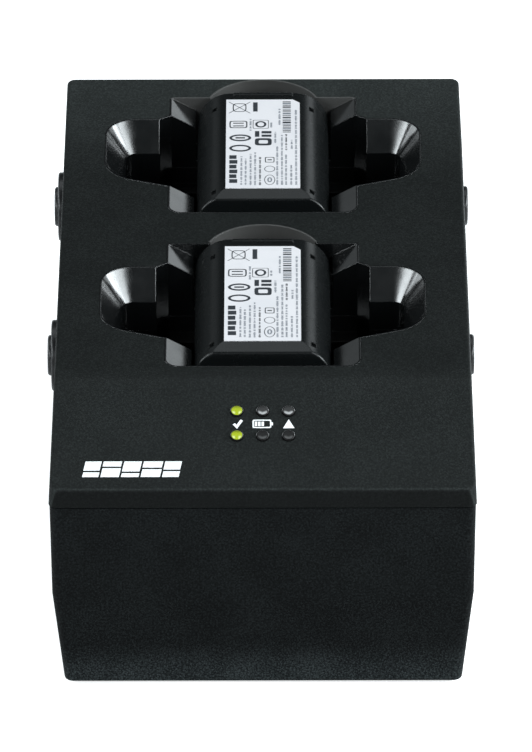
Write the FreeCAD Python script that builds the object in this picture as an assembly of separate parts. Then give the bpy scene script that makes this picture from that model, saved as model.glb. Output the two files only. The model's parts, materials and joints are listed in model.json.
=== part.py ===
"""Dual-bay docking charger with two flat rechargeable packs.

+X is to the right, +Y to the rear and +Z up, in millimetres.
The origin is on the table, under the middle of the case.
"""
import FreeCAD, Part
import math
import os

from FreeCAD import Vector

os.makedirs("parts", exist_ok=True)

# Case: overall sizes
CASE_WIDTH = 95.0            # at the seam between cover and base
CASE_DEPTH = 165.0
CASE_HEIGHT = 64.5
SEAM_HEIGHT = 47.0
SEAM_GAP = 0.3
WALL = 2.2
COVER_DRAFT = 0.97           # each side leans in this much from seam to top
CORNER_RADIUS = 2.0
EDGE_RADIUS = 0.7

# Sloped indicator panel
PANEL_LENGTH = 27.5          # level distance from the case's front to the fold
PANEL_FOOT_HEIGHT = 51.55
PANEL_FOOT_SETBACK = 0.5
FOLD_RADIUS = 17.0

# Base
BASE_INSET = 0.2             # the base stands this far inside the cover
FOOT_PROUD = 0.8
FOOT_THICKNESS = 1.8
FOOT_RADIUS = 5.0
FOOT_INSET_X = 14.5          # from the case's sides
FOOT_INSET_Y = 16.5          # from its ends
FOOT_CLEARANCE = 0.1
FOOT_EDGE_RADIUS = 0.35
FOOT_POCKET_WALL = 1.5
TAPER_HEIGHT = 23.6          # below this the base sides lean in
TAPER_INSET = 2.55
SIDE_DRAFT = 0.25
TONGUE_HEIGHT = 2.0
TONGUE_THICKNESS = 1.0
TONGUE_CLEARANCE = 0.35
TONGUE_ROOT = 3.0

# Bays, measured from each bay's own middle
BAY_PITCH = 68.8
BAY_REAR_MARGIN = 10.15      # from the case's rear to the rear nest
NEST_WIDTH = 43.3
NEST_LENGTH = 54.1
NEST_REAR_CORNER = 0.8
NEST_FRONT_CORNER = 3.0
RAMP_DROP = 3.2
NEST_SIDE_CLEARANCE = 0.6
NEST_FLOOR_CLEARANCE = 0.3
NEST_TRAY_FLOOR = 1.8
FLARE_REACH = 36.65
FLARE_REAR_Y = 16.7
FLARE_REAR_RADIUS = 7.0
FLARE_FRONT_Y = -9.57        # where the side line meets the slanted front line
FLARE_FRONT_SLOPE = 0.35
FLARE_FRONT_RADIUS = 9.1
LEAD_IN = 4.5
LEAD_IN_DEPTH = 6.7
LEAD_IN_START_X = 24.4
SLOT_REAR_Y = 18.6
SLOT_DEPTH = 24.5
SCOOP_RADIUS = 13.3
SCOOP_REACH = 8.7            # how far the scoop runs behind the nest
SCOOP_DEPTH = 10.0
SCOOP_FLOOR_RADIUS = 4.0
LINER_RIM = 0.4
LINER_GAP = 0.05
LINER_WALL = 1.8
LEDGE_HEIGHT = 6.0           # of the two stops at the foot of the slot's rear wall
LEDGE_DEPTH = 4.5
LEDGE_INNER_X = 15.0

# Rechargeable pack
PACK_WIDTH = 30.8
PACK_LENGTH = 49.0
PACK_THICKNESS = 15.0
PACK_PROUD = 3.0             # its top above the cover
PACK_OFFSET_Y = -0.2
PACK_TOP_RADIUS = 8.0
PACK_BOTTOM_RADIUS = 4.5
PACK_WALL = 0.9
PACK_BEVEL_LENGTH = 4.0
PACK_BEVEL_DROP = 1.0
PACK_TAB_WIDTH = 14.0
PACK_TAB_LENGTH = 1.2
PACK_TAB_HEIGHT = 0.4
PACK_TAB_MARGIN = 0.6        # behind the tab
PACK_TAB_EDGE = 0.3
PACK_SEAM_HEIGHT = 6.6       # of the parting line above its underside
PACK_SEAM_GAP = 0.1
PACK_LIP_DEPTH = 1.2
PACK_LIP_HEIGHT = 1.0
PACK_FILM_GAP = 0.1
PACK_CELL_GAP = 0.3          # between a cell and the middle
PACK_BOARD_HALF_WIDTH = 12.0
PACK_BOARD_GAP = 0.6
PACK_BOARD_THICKNESS = 0.8
PACK_BOARD_LOW = 2.0         # above the pack's underside
PACK_BOARD_HIGH = 3.5        # under its top
PAD_HALF_WIDTH = 1.3
PAD_HALF_LENGTH = 1.8
PAD_CLEARANCE = 0.05
PAD_TAIL = 0.6               # half the width of a pad's tail
PAD_SHEET = 0.3
PAD_RISE = 2.7
LABEL_WIDTH = 17.3
LABEL_LENGTH = 42.0
LABEL_THICKNESS = 0.15
LABEL_RECESS = 0.12
LABEL_CHAMFER = 1.6
CELL_RADIUS = 6.2
CELL_LENGTH = 40.0
WINDOW_X = 11.4
WINDOW_DEPTH = 1.6

# Contacts
PIN_RADIUS = 0.75
PIN_PITCH = 4.0
PIN_COUNT = 3
PIN_CLEARANCE = 0.06
COLLAR_RADIUS = 1.15
COLLAR_HEIGHT = 0.6
CHAMBER_RADIUS = 1.35
SPRING_WIRE = 0.16
SPRING_TURNS = 6
NEST_PIN_GAP = 0.05
SLOT_PIN_PROUD = 1.8
CONTACT_BLOCK_LENGTH = 14.0
CONTACT_BLOCK_WIDTH = 5.0
CONTACT_BLOCK_HEIGHT = 7.4
CONTACT_BLOCK_EDGE = 0.3
CHAMBER_ROOF = 2.0
CHAMBER_SILL = 0.8
COLLAR_SLACK = 0.05
NEST_BLOCK_Y = -20.5
SLOT_BLOCK_Y = 2.0

# Indicators
LENS_RADIUS = 1.5
LENS_CLEARANCE = 0.05
LENS_PITCH = 5.75
LENS_ROWS = (9.43, 15.94)    # down the panel from the fold
LENS_FLANGE = 0.6
LENS_DOME = 0.5
LENS_TAIL = 2.4
LENS_TAIL_INSET = 0.4
LENS_FLANGE_THICKNESS = 0.8
LAMP_GAP = 0.15
LAMP_HEIGHT = 0.9
LAMP_HALF_WIDTH = 1.0
LAMP_HALF_LENGTH = 0.7
LAMP_BOARD_HALF = 13.0
LAMP_BOARD_MARGIN = 5.0      # beyond the outer lens rows
LAMP_BOARD_THICKNESS = 1.2
LAMP_PEG_X = 11.0
LAMP_PEG_RADIUS = 1.6
LAMP_PEG_ROOT = 0.5

# Link ports
PORT_HEIGHT = 37.0
PORT_OFFSET_Y = 23.4         # behind each bay's middle
PORT_BORE = 4.85
PLUG_RADIUS = 4.7
PLUG_PROUD_LEFT = 2.5
PLUG_PROUD_RIGHT = 1.5
PLUG_SHANK = 4.0
PLUG_SHANK_LENGTH = 4.0
PLUG_HEAD_SEAT = 0.4         # between its head's end and the wall's inner face
PLUG_EDGE = 0.6
PLUG_DISH_RADIUS = 9.0
PLUG_DISH_DEPTH = 0.4
BEZEL_RADIUS = 8.2
BEZEL_PROUD = 1.6
BEZEL_EDGE = 0.5
SOCKET_RADIUS = 6.0
SOCKET_LENGTH = 9.0
SOCKET_CLEARANCE = 0.3
SOCKET_BACK = 2.0
SOCKET_PIN_RADIUS = 0.5
SOCKET_PIN_LENGTH = 3.5
SOCKET_PIN_PITCH = 2.0

# Electronics
BOARD_INSET_X = 13.5         # from the case's sides
BOARD_INSET_FRONT = 20.5
BOARD_INSET_REAR = 14.5
BOARD_TAB_WIDTH = 24.0       # rear tab under the inlet
BOARD_TAB_GAP = 0.3
BOARD_THICKNESS = 1.6
BOARD_HEIGHT = 16.0          # its underside
BOARD_POST_X = 24.0
BOARD_POST_RADIUS = 3.0
BOARD_SCREW_RADIUS = 1.2
BOARD_POST_INSET = 5.0
BOARD_CORNER_RADIUS = 2.0
BOARD_HOLE_RADIUS = 1.6
BOARD_SCREW_HEAD_HEIGHT = 1.4
BOARD_SCREW_LENGTH = 7.0
CHANNEL_X = 19.0             # the two charging channels on the board
CHANNEL_Y = 13.0
INDUCTOR_SIZE = 10.0
INDUCTOR_HEIGHT = 4.5
INDUCTOR_CORNER = 1.2
CAPACITOR_RADIUS = 4.0
CAPACITOR_HEIGHT = 10.0
CAPACITOR_EDGE = 0.6
CAPACITOR_INLET_X = 14.0
CAPACITOR_INLET_INSET = 12.0  # from the board's rear
CAPACITOR_CHANNEL_STEP = 19.0
CHIP_PITCH = 1.27
CHIP_LEG_REACH = 1.0
CHIP_LEG_HALF = 0.22
CHIP_LEG_HEIGHT = 0.35
CHIP_STANDOFF = 0.1
CONTROLLER_SIZE = (4.0, 6.4, 1.6)
CONTROLLER_STEP = 15.0       # behind the channel's inductor
PROCESSOR_SIZE = (9.0, 11.5, 1.8)
PROCESSOR_Y = -36.0
HEADER_HALF_WIDTH = 6.5
HEADER_HALF_LENGTH = 1.8
HEADER_HEIGHT = 4.0
PANEL_HEADER_HALF_WIDTH = 5.0
PANEL_HEADER_INSET = 4.8     # from the board's front
LEAD_HALF_WIDTH = 5.0
PANEL_LEAD_HALF_WIDTH = 4.0
LEAD_HALF_THICKNESS = 0.25
PANEL_LEAD_BEND = 4.0
LINK_LEAD_RADIUS = 1.1
LINK_LEAD_BEND = 5.0
INLET_X = 0.0
INLET_WIDTH = 9.0
INLET_HEIGHT = 11.0
INLET_LENGTH = 13.0
INLET_NOSE_RADIUS = 4.2
INLET_CLEARANCE = 0.2
INLET_BORE = 2.9
INLET_BACK = 3.5             # solid stretch behind the bore
INLET_PIN_RADIUS = 1.0
INLET_PIN_SETBACK = 1.4      # of its tip inside the base's rear face
INLET_NOSE_SETBACK = 0.2

# Fasteners
CASE_SCREW_INSET_X = 17.5    # from the case's sides
CASE_SCREW_TO_WALL = 5.3     # from the inner face of its end walls
CASE_SCREW_RADIUS = 1.5
CASE_SCREW_HEAD = 2.8
CASE_SCREW_HEAD_HEIGHT = 2.0
CASE_POST_RADIUS = 3.8
CASE_POST_TOP = 14.0
CASE_SCREW_BITE = 9.0        # how far a case screw runs into the cover's post
CASE_SCREW_SINK = 0.6        # its head above the underside
SCREW_CLEARANCE = 0.25

# Worked out
HALF_WIDTH = CASE_WIDTH / 2
HALF_DEPTH = CASE_DEPTH / 2
REAR_BAY_Y = HALF_DEPTH - BAY_REAR_MARGIN - NEST_LENGTH / 2
BAY_CENTRES = {"rear": REAR_BAY_Y, "front": REAR_BAY_Y - BAY_PITCH}
FOLD_Y = -HALF_DEPTH + PANEL_LENGTH
PANEL_FOOT_Y = -HALF_DEPTH + PANEL_FOOT_SETBACK
PANEL_ANGLE = math.degrees(math.atan2(CASE_HEIGHT - PANEL_FOOT_HEIGHT, FOLD_Y - PANEL_FOOT_Y))
PACK_TOP = CASE_HEIGHT + PACK_PROUD
PACK_BOTTOM = PACK_TOP - PACK_THICKNESS
NEST_FLOOR = PACK_BOTTOM - NEST_FLOOR_CLEARANCE
NEST_HALF = PACK_WIDTH / 2 + NEST_SIDE_CLEARANCE
SLOT_FLOOR = CASE_HEIGHT - SLOT_DEPTH
LEAD_IN_END = CASE_HEIGHT - LEAD_IN_DEPTH
BASE_TOP = SEAM_HEIGHT - SEAM_GAP
BASE_HALF_WIDTH = HALF_WIDTH - BASE_INSET
BASE_HALF_DEPTH = HALF_DEPTH - BASE_INSET
BOARD_TOP = BOARD_HEIGHT + BOARD_THICKNESS
BOARD_FRONT_Y = -HALF_DEPTH + BOARD_INSET_FRONT
BOARD_REAR_Y = HALF_DEPTH - BOARD_INSET_REAR


def save(name, shape):
    """Write one named node."""
    shape.exportStep("parts/" + name + ".step")


def box(x0, x1, y0, y1, z0, z1):
    """Box between two corners."""
    return Part.makeBox(x1 - x0, y1 - y0, z1 - z0, Vector(x0, y0, z0))


def post(radius, x, y, z0, z1):
    """Upright cylinder."""
    return Part.makeCylinder(radius, z1 - z0, Vector(x, y, z0))


def rod_x(radius, x0, x1, y, z):
    """Cylinder along X."""
    return Part.makeCylinder(radius, x1 - x0, Vector(x0, y, z), Vector(1, 0, 0))


def rod_y(radius, x, y0, y1, z):
    """Cylinder along Y."""
    return Part.makeCylinder(radius, y1 - y0, Vector(x, y0, z), Vector(0, 1, 0))


def polygon(points):
    """Closed wire through the points."""
    return Part.makePolygon(points + [points[0]])


def extrude(points, direction):
    """Prism from a closed polygon."""
    return Part.Face(polygon(points)).extrude(direction)


def moved(shape, x=0.0, y=0.0, z=0.0):
    """Copy of a shape, shifted."""
    copy = shape.copy()
    copy.translate(Vector(x, y, z))
    return copy


def fillet_where(shape, radius, wanted):
    """Round the edges whose middle point the test accepts."""
    edges = [e for e in shape.Edges if wanted(e, e.valueAt((e.FirstParameter + e.LastParameter) / 2))]
    return shape.makeFillet(radius, edges)


def on_panel(shape):
    """Carry a shape made on a level plane at z = 0, fold at y = 0, onto the sloped panel."""
    copy = shape.copy()
    copy.rotate(Vector(0, 0, 0), Vector(1, 0, 0), PANEL_ANGLE)
    copy.translate(Vector(0, FOLD_Y, CASE_HEIGHT))
    return copy


# ---- case -------------------------------------------------------------------------------------

def cover_form(inset):
    """Outer form of the cover, every face moved in by the inset."""
    top = CASE_HEIGHT - inset
    half_top = HALF_WIDTH - COVER_DRAFT - inset
    half_low = HALF_WIDTH - inset
    across = extrude(
        [
            Vector(-half_low, -HALF_DEPTH, SEAM_HEIGHT),
            Vector(half_low, -HALF_DEPTH, SEAM_HEIGHT),
            Vector(half_top, -HALF_DEPTH, top),
            Vector(-half_top, -HALF_DEPTH, top),
        ],
        Vector(0, CASE_DEPTH, 0),
    )
    angle = math.radians(PANEL_ANGLE)
    radius = FOLD_RADIUS - inset
    fold_y = FOLD_Y + inset * math.tan(angle / 2)
    reach = radius * math.tan(angle / 2)
    foot_y = PANEL_FOOT_Y + inset
    foot_z = top - (fold_y - foot_y) * math.tan(angle)
    start = Vector(0, fold_y + reach, top)
    end = Vector(0, fold_y - reach * math.cos(angle), top - reach * math.sin(angle))
    middle = Vector(0, start.y - radius * math.sin(angle / 2), top - radius * (1 - math.cos(angle / 2)))
    front_low = Vector(0, -HALF_DEPTH + inset, SEAM_HEIGHT)
    front_high = Vector(0, foot_y, foot_z)
    rear_low = Vector(0, HALF_DEPTH - inset, SEAM_HEIGHT)
    rear_high = Vector(0, HALF_DEPTH - PANEL_FOOT_SETBACK - inset, top)
    side = Part.Wire(
        [
            Part.makeLine(front_low, front_high),
            Part.makeLine(front_high, end),
            Part.Arc(end, middle, start).toShape(),
            Part.makeLine(start, rear_high),
            Part.makeLine(rear_high, rear_low),
            Part.makeLine(rear_low, front_low),
        ]
    )
    along = Part.Face(side).extrude(Vector(2 * HALF_WIDTH, 0, 0))
    along.translate(Vector(-HALF_WIDTH, 0, 0))
    return across.common(along)


def cover_outside():
    """Cover form with rounded corners and edges."""
    form = cover_form(0)
    low = SEAM_HEIGHT + 0.01

    def upright(edge, mid):
        ends = [v.Point for v in edge.Vertexes]
        if len(ends) < 2:
            return False
        return min(p.z for p in ends) < low and max(p.z for p in ends) > low

    form = fillet_where(form, CORNER_RADIUS, upright)

    def rim(edge, mid):
        return mid.z > low and not upright(edge, mid) and edge_is_rim(mid)

    return fillet_where(form, EDGE_RADIUS, rim)


def edge_is_rim(mid):
    """True on the edges that run round the top of the cover."""
    rim_x = abs(mid.x) > HALF_WIDTH - COVER_DRAFT - CORNER_RADIUS
    rim_y = mid.y > HALF_DEPTH - CORNER_RADIUS - PANEL_FOOT_SETBACK
    foot = mid.y < PANEL_FOOT_Y + 0.01 and abs(mid.z - PANEL_FOOT_HEIGHT) < 0.1
    return rim_x or rim_y or foot


def case_screw_places():
    """Where the four case screws stand."""
    x = HALF_WIDTH - CASE_SCREW_INSET_X
    y = HALF_DEPTH - WALL - CASE_SCREW_TO_WALL
    return [(sx * x, sy * y) for sx in (-1, 1) for sy in (-1, 1)]


def lens_places():
    """Column name, row name, x and distance down the panel of each lens."""
    places = []
    for column, x in (("ready", -LENS_PITCH), ("charging", 0.0), ("fault", LENS_PITCH)):
        for row, down in zip(("rear", "front"), LENS_ROWS):
            places.append((column, row, x, down))
    return places


def top_cover():
    """Cover with the two bay openings, the lens holes and the screw posts."""
    inside = cover_form(WALL)
    inside = inside.fuse(moved(inside, z=-1.0))
    cover = cover_outside().cut(inside)
    posts = []
    for x, y in case_screw_places():
        stem = post(CASE_POST_RADIUS, x, y, CASE_POST_TOP, CASE_HEIGHT)
        room = cover_form(WALL / 2).fuse(post(CASE_POST_RADIUS, x, y, CASE_POST_TOP, SEAM_HEIGHT))
        posts.append(stem.common(room))
    cover = cover.fuse(posts + indicator_pegs())
    cutters = []
    for x, y in case_screw_places():
        cutters.append(post(CASE_SCREW_RADIUS, x, y, CASE_POST_TOP - 1, CASE_POST_TOP + CASE_SCREW_BITE + 2))
    for centre in BAY_CENTRES.values():
        cutters.append(moved(rim_prism(LINER_RIM + LINER_GAP, liner_bottom() - 1), y=centre))
    for _, _, x, down in lens_places():
        cutters.append(on_panel(post(LENS_RADIUS, x, -down, -WALL - 3, 3)))
    return cover.cut(cutters).removeSplitter()


def base_form(inset, bottom, top):
    """Base body between two heights, its walls moved in by the inset."""
    def half_at(z):
        if z >= TAPER_HEIGHT:
            share = (BASE_TOP - z) / (BASE_TOP - TAPER_HEIGHT)
            return BASE_HALF_WIDTH - SIDE_DRAFT * share - inset
        share = (TAPER_HEIGHT - z) / TAPER_HEIGHT
        return BASE_HALF_WIDTH - SIDE_DRAFT - TAPER_INSET * share - inset

    heights = [bottom, TAPER_HEIGHT, top]
    right = [Vector(half_at(z), 0, z) for z in heights]
    left = [Vector(-half_at(z), 0, z) for z in reversed(heights)]
    form = extrude(right + left, Vector(0, 2 * (BASE_HALF_DEPTH - inset), 0))
    form.translate(Vector(0, -(BASE_HALF_DEPTH - inset), 0))
    return form


def board_post_places():
    """Where the four board screws stand."""
    ys = (BOARD_FRONT_Y + BOARD_POST_INSET, BOARD_REAR_Y - BOARD_POST_INSET)
    return [(sx * BOARD_POST_X, y) for sx in (-1, 1) for y in ys]


def inlet_height():
    """Height of the inlet's axis."""
    return BOARD_TOP + INLET_HEIGHT / 2


def tongue():
    """Lip inside the base's walls that locates the cover."""
    x = HALF_WIDTH - WALL - TONGUE_CLEARANCE
    y = HALF_DEPTH - WALL - TONGUE_CLEARANCE
    low = BASE_TOP - TONGUE_ROOT
    lip = box(-x, x, -y, y, low, BASE_TOP + TONGUE_HEIGHT)
    root_y = BASE_HALF_DEPTH - WALL / 2
    root = box(-HALF_WIDTH, HALF_WIDTH, -root_y, root_y, low, BASE_TOP)
    x -= TONGUE_THICKNESS
    y -= TONGUE_THICKNESS
    room = box(-x, x, -y, y, low - 1, BASE_TOP + TONGUE_HEIGHT + 1)
    return lip.fuse(root).cut(room)


def tongue_room():
    """Ring the tongue needs for itself, with its clearance above and inside."""
    top = BASE_TOP + TONGUE_HEIGHT + TONGUE_CLEARANCE
    inset = WALL + TONGUE_THICKNESS + 2 * TONGUE_CLEARANCE
    x = HALF_WIDTH - inset
    y = HALF_DEPTH - inset
    whole = box(-HALF_WIDTH, HALF_WIDTH, -HALF_DEPTH, HALF_DEPTH, BASE_TOP - TONGUE_ROOT, top)
    return whole.cut(box(-x, x, -y, y, BASE_TOP - TONGUE_ROOT, top))


def base_shell():
    """Tub with its tongue, posts, foot recesses, inlet hole and link-port holes."""
    form = base_form(0, FOOT_PROUD, BASE_TOP)

    def upright(edge, mid):
        at_end = abs(abs(mid.y) - BASE_HALF_DEPTH) < 0.01
        return at_end and abs(edge.Vertexes[0].Z - edge.Vertexes[-1].Z) > 3

    form = fillet_where(form, CORNER_RADIUS, upright)
    form = fillet_where(form, EDGE_RADIUS, lambda e, mid: abs(mid.z - FOOT_PROUD) < 0.01)
    shell = form.cut(base_form(WALL, FOOT_PROUD + WALL, BASE_TOP + 1))
    additions = [tongue()]
    for x, y in case_screw_places():
        additions.append(post(CASE_POST_RADIUS, x, y, FOOT_PROUD, CASE_POST_TOP))
    for x, y in board_post_places():
        additions.append(post(BOARD_POST_RADIUS, x, y, FOOT_PROUD + WALL / 2, BOARD_HEIGHT))
    for x, y in foot_places():
        pocket = FOOT_RADIUS + FOOT_POCKET_WALL
        additions.append(post(pocket, x, y, FOOT_PROUD + WALL / 2, FOOT_THICKNESS + WALL))
    room = base_form(WALL / 2, FOOT_PROUD, BASE_TOP + TONGUE_HEIGHT)
    shell = shell.fuse([addition.common(room) for addition in additions])
    cutters = []
    for x, y in case_screw_places():
        cutters.append(post(CASE_SCREW_RADIUS + SCREW_CLEARANCE, x, y, 0, CASE_POST_TOP + 1))
        seat = screw_head_low() + CASE_SCREW_HEAD_HEIGHT
        cutters.append(post(CASE_SCREW_HEAD + SCREW_CLEARANCE, x, y, 0, seat))
    for x, y in board_post_places():
        low = BOARD_HEIGHT - BOARD_SCREW_LENGTH
        cutters.append(post(BOARD_SCREW_RADIUS, x, y, low, BOARD_HEIGHT + 1))
    for x, y in foot_places():
        cutters.append(post(FOOT_RADIUS, x, y, 0, FOOT_THICKNESS))
    inlet_start = BASE_HALF_DEPTH - 2 * WALL
    inlet_radius = INLET_NOSE_RADIUS + INLET_CLEARANCE
    cutters.append(rod_y(inlet_radius, INLET_X, inlet_start, HALF_DEPTH + 1, inlet_height()))
    for side in (-1, 1):
        for centre in BAY_CENTRES.values():
            x0, x1 = sorted((side * (HALF_WIDTH - 6), side * (HALF_WIDTH + 1)))
            cutters.append(rod_x(PORT_BORE, x0, x1, centre + PORT_OFFSET_Y, PORT_HEIGHT))
    return shell.cut(cutters).removeSplitter()


def foot_places():
    """Where the four feet are."""
    x = HALF_WIDTH - FOOT_INSET_X
    y = HALF_DEPTH - FOOT_INSET_Y
    return [(sx * x, sy * y) for sx in (-1, 1) for sy in (-1, 1)]


def rubber_feet():
    """Four round feet in their recesses."""
    feet = []
    for x, y in foot_places():
        foot = post(FOOT_RADIUS - FOOT_CLEARANCE, x, y, 0, FOOT_THICKNESS)
        feet.append(fillet_where(foot, FOOT_EDGE_RADIUS, lambda e, mid: abs(mid.z) < 0.01))
    return Part.makeCompound(feet)


def screw_head_low():
    """Underside height of the case screws' heads."""
    return FOOT_PROUD + CASE_SCREW_SINK


def screw(radius, head_radius, head_height, length):
    """Screw standing on its head at z = 0, shank upwards, with a cross recess."""
    head = Part.makeCylinder(head_radius, head_height)
    head = fillet_where(head, head_height * 0.3, lambda e, mid: abs(mid.z) < 0.01)
    shank = Part.makeCylinder(radius, length, Vector(0, 0, head_height))
    tip = [e for e in shank.Edges if abs(e.BoundBox.ZMin - head_height - length) < 0.01]
    shank = shank.makeChamfer(radius * 0.3, tip)
    arm = head_radius * 0.55
    slit = head_radius * 0.12
    depth = head_height * 0.5
    recess = box(-arm, arm, -slit, slit, -0.1, depth).fuse(box(-slit, slit, -arm, arm, -0.1, depth))
    return head.fuse(shank).cut(recess).removeSplitter()


def cover_screws():
    """Four screws from below that hold the cover."""
    low = screw_head_low()
    length = CASE_POST_TOP + CASE_SCREW_BITE - low - CASE_SCREW_HEAD_HEIGHT
    made = screw(CASE_SCREW_RADIUS, CASE_SCREW_HEAD, CASE_SCREW_HEAD_HEIGHT, length)
    return Part.makeCompound([moved(made, x, y, low) for x, y in case_screw_places()])


# ---- bays -------------------------------------------------------------------------------------

def flare_wire(side, inset, z):
    """Outline of one flared end of the slot, moved in by the inset.

    A straight rear line, a corner arc, the side line, a second arc and the slanted front line.
    """
    slant = math.atan(FLARE_FRONT_SLOPE)
    rear_y = FLARE_REAR_Y - inset
    side_x = FLARE_REACH - inset
    rear_centre = Vector(FLARE_REACH - FLARE_REAR_RADIUS, FLARE_REAR_Y - FLARE_REAR_RADIUS, z)
    rear_radius = FLARE_REAR_RADIUS - inset
    half_turn = (math.pi / 2 - slant) / 2
    front_centre = Vector(
        FLARE_REACH - FLARE_FRONT_RADIUS,
        FLARE_FRONT_Y + FLARE_FRONT_RADIUS * math.tan(half_turn),
        z,
    )
    front_radius = FLARE_FRONT_RADIUS - inset

    def around(centre, radius, angle):
        return Vector(centre.x + radius * math.cos(angle), centre.y + radius * math.sin(angle), z)

    front_end = around(front_centre, front_radius, slant - math.pi / 2)
    front_middle = around(front_centre, front_radius, slant - math.pi / 2 + half_turn)
    inner_front_y = front_end.y - (front_end.x - LEAD_IN_START_X) * FLARE_FRONT_SLOPE
    inner_front = Vector(LEAD_IN_START_X, inner_front_y, z)
    inner_rear = Vector(LEAD_IN_START_X, rear_y, z)
    rear_start = Vector(rear_centre.x, rear_y, z)
    rear_end = Vector(side_x, rear_centre.y, z)
    front_start = Vector(side_x, front_centre.y, z)
    edges = [
        Part.makeLine(inner_rear, rear_start),
        Part.Arc(rear_start, around(rear_centre, rear_radius, math.pi / 4), rear_end).toShape(),
        Part.makeLine(rear_end, front_start),
        Part.Arc(front_start, front_middle, front_end).toShape(),
        Part.makeLine(front_end, inner_front),
        Part.makeLine(inner_front, inner_rear),
    ]
    wire = Part.Wire(edges)
    if side < 0:
        wire = wire.mirror(Vector(0, 0, 0), Vector(1, 0, 0))
    return wire


def slant_front_y(x):
    """Where the slanted front line of the slot is at a distance x from the middle."""
    return FLARE_FRONT_Y - (FLARE_REACH - abs(x)) * FLARE_FRONT_SLOPE


def slot_middle_face(z, inset=0.0):
    """Plan of the wider middle stretch of the slot, under the pack."""
    nest = NEST_WIDTH / 2
    wide = LEAD_IN_START_X - inset
    points = [
        Vector(-wide, slant_front_y(LEAD_IN_START_X) + inset, z),
        Vector(-nest, slant_front_y(nest) + inset, z),
        Vector(nest, slant_front_y(nest) + inset, z),
        Vector(wide, slant_front_y(LEAD_IN_START_X) + inset, z),
        Vector(wide, FLARE_REAR_Y - inset, z),
        Vector(nest, SLOT_REAR_Y - inset, z),
        Vector(-nest, SLOT_REAR_Y - inset, z),
        Vector(-wide, FLARE_REAR_Y - inset, z),
    ]
    return Part.Face(polygon(points))


def nest_face(z):
    """Plan of the rectangle round the pack, with its corners rounded."""
    half = NEST_WIDTH / 2
    block = box(-half, half, -NEST_LENGTH / 2, NEST_LENGTH / 2, z, z + 1)
    block = fillet_where(block, NEST_REAR_CORNER, lambda e, m: abs(m.z - z - 0.5) < 0.01 and m.y > 0)
    block = fillet_where(block, NEST_FRONT_CORNER, lambda e, m: abs(m.z - z - 0.5) < 0.01 and m.y < 0)
    return [f for f in block.Faces if abs(f.CenterOfMass.z - z) < 0.01][0]


def scoop_centre_y():
    """Middle of the finger scoop's circle."""
    return NEST_LENGTH / 2 + SCOOP_REACH - SCOOP_RADIUS


def bay_outline(z, offset):
    """Plan of everything the bay opens in the cover, grown by the offset."""
    scoop = Part.Face(Part.Wire(Part.makeCircle(SCOOP_RADIUS, Vector(0, scoop_centre_y(), z))))
    faces = [slot_middle_face(z), scoop] + [Part.Face(flare_wire(side, 0, z)) for side in (-1, 1)]
    slabs = [face.extrude(Vector(0, 0, 1)) for face in faces]
    whole = nest_face(z).extrude(Vector(0, 0, 1)).fuse(slabs).removeSplitter()
    under = [face for face in whole.Faces if abs(face.CenterOfMass.z - z) < 0.01][0]
    outline = Part.Face(under.OuterWire)
    if offset:
        outline = outline.makeOffset2D(offset)
    return outline


def rim_prism(offset, z0):
    """The bay outline as a prism up through the cover."""
    face = bay_outline(z0, offset)
    return Part.Face(face.OuterWire).extrude(Vector(0, 0, CASE_HEIGHT - z0))


def liner_bottom():
    """Height where the liner's full outline ends."""
    return NEST_FLOOR - NEST_TRAY_FLOOR


def bay_cavity():
    """Space inside one bay: nest, ramps, funnel, slot and scoop."""
    above = CASE_HEIGHT + 1
    half_length = NEST_LENGTH / 2
    nest_half = NEST_WIDTH / 2
    ramp_low = CASE_HEIGHT - RAMP_DROP
    ramps = extrude(
        [
            Vector(-NEST_HALF, -half_length, ramp_low),
            Vector(NEST_HALF, -half_length, ramp_low),
            Vector(nest_half, -half_length, CASE_HEIGHT),
            Vector(nest_half, -half_length, above),
            Vector(-nest_half, -half_length, above),
            Vector(-nest_half, -half_length, CASE_HEIGHT),
        ],
        Vector(0, NEST_LENGTH, 0),
    )
    plan = Part.Face(nest_face(ramp_low - 1).OuterWire).extrude(Vector(0, 0, 6))
    ramps = ramps.common(plan)
    nest = box(-NEST_HALF, NEST_HALF, -half_length, half_length, NEST_FLOOR, ramp_low + 0.5)
    slot = slot_middle_face(SLOT_FLOOR).extrude(Vector(0, 0, above - SLOT_FLOOR))
    spaces = [ramps, nest, slot]
    for side in (-1, 1):
        mouth = flare_wire(side, 0, CASE_HEIGHT)
        throat = flare_wire(side, LEAD_IN, LEAD_IN_END)
        funnel = Part.makeLoft([mouth, throat], True, True)
        well = Part.Face(flare_wire(side, LEAD_IN, SLOT_FLOOR))
        well = well.extrude(Vector(0, 0, LEAD_IN_END - SLOT_FLOOR))
        spaces.append(funnel)
        spaces.append(well)
        spaces.append(Part.Face(mouth).extrude(Vector(0, 0, 1)))
    scoop = post(SCOOP_RADIUS, 0, scoop_centre_y(), CASE_HEIGHT - SCOOP_DEPTH, above)
    scoop = fillet_where(scoop, SCOOP_FLOOR_RADIUS, lambda e, m: abs(m.z - CASE_HEIGHT + SCOOP_DEPTH) < 0.01)
    spaces.append(scoop)
    cavity = spaces[0].fuse(spaces[1:]).removeSplitter()
    ledge_y = SLOT_REAR_Y - LEDGE_DEPTH
    ledge_top = SLOT_FLOOR + LEDGE_HEIGHT
    ledges = [
        box(-nest_half, -LEDGE_INNER_X, ledge_y, SLOT_REAR_Y, SLOT_FLOOR, ledge_top),
        box(LEDGE_INNER_X, nest_half, ledge_y, SLOT_REAR_Y, SLOT_FLOOR, ledge_top),
    ]
    return cavity.cut(ledges)


def contact_block_box(y, top, clearance=0.0):
    """Outer box of a contact block whose upper face is at the given height."""
    half = CONTACT_BLOCK_LENGTH / 2 + clearance
    width = CONTACT_BLOCK_WIDTH / 2 + clearance
    return box(-half, half, y - width, y + width, top - CONTACT_BLOCK_HEIGHT, top)


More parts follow.
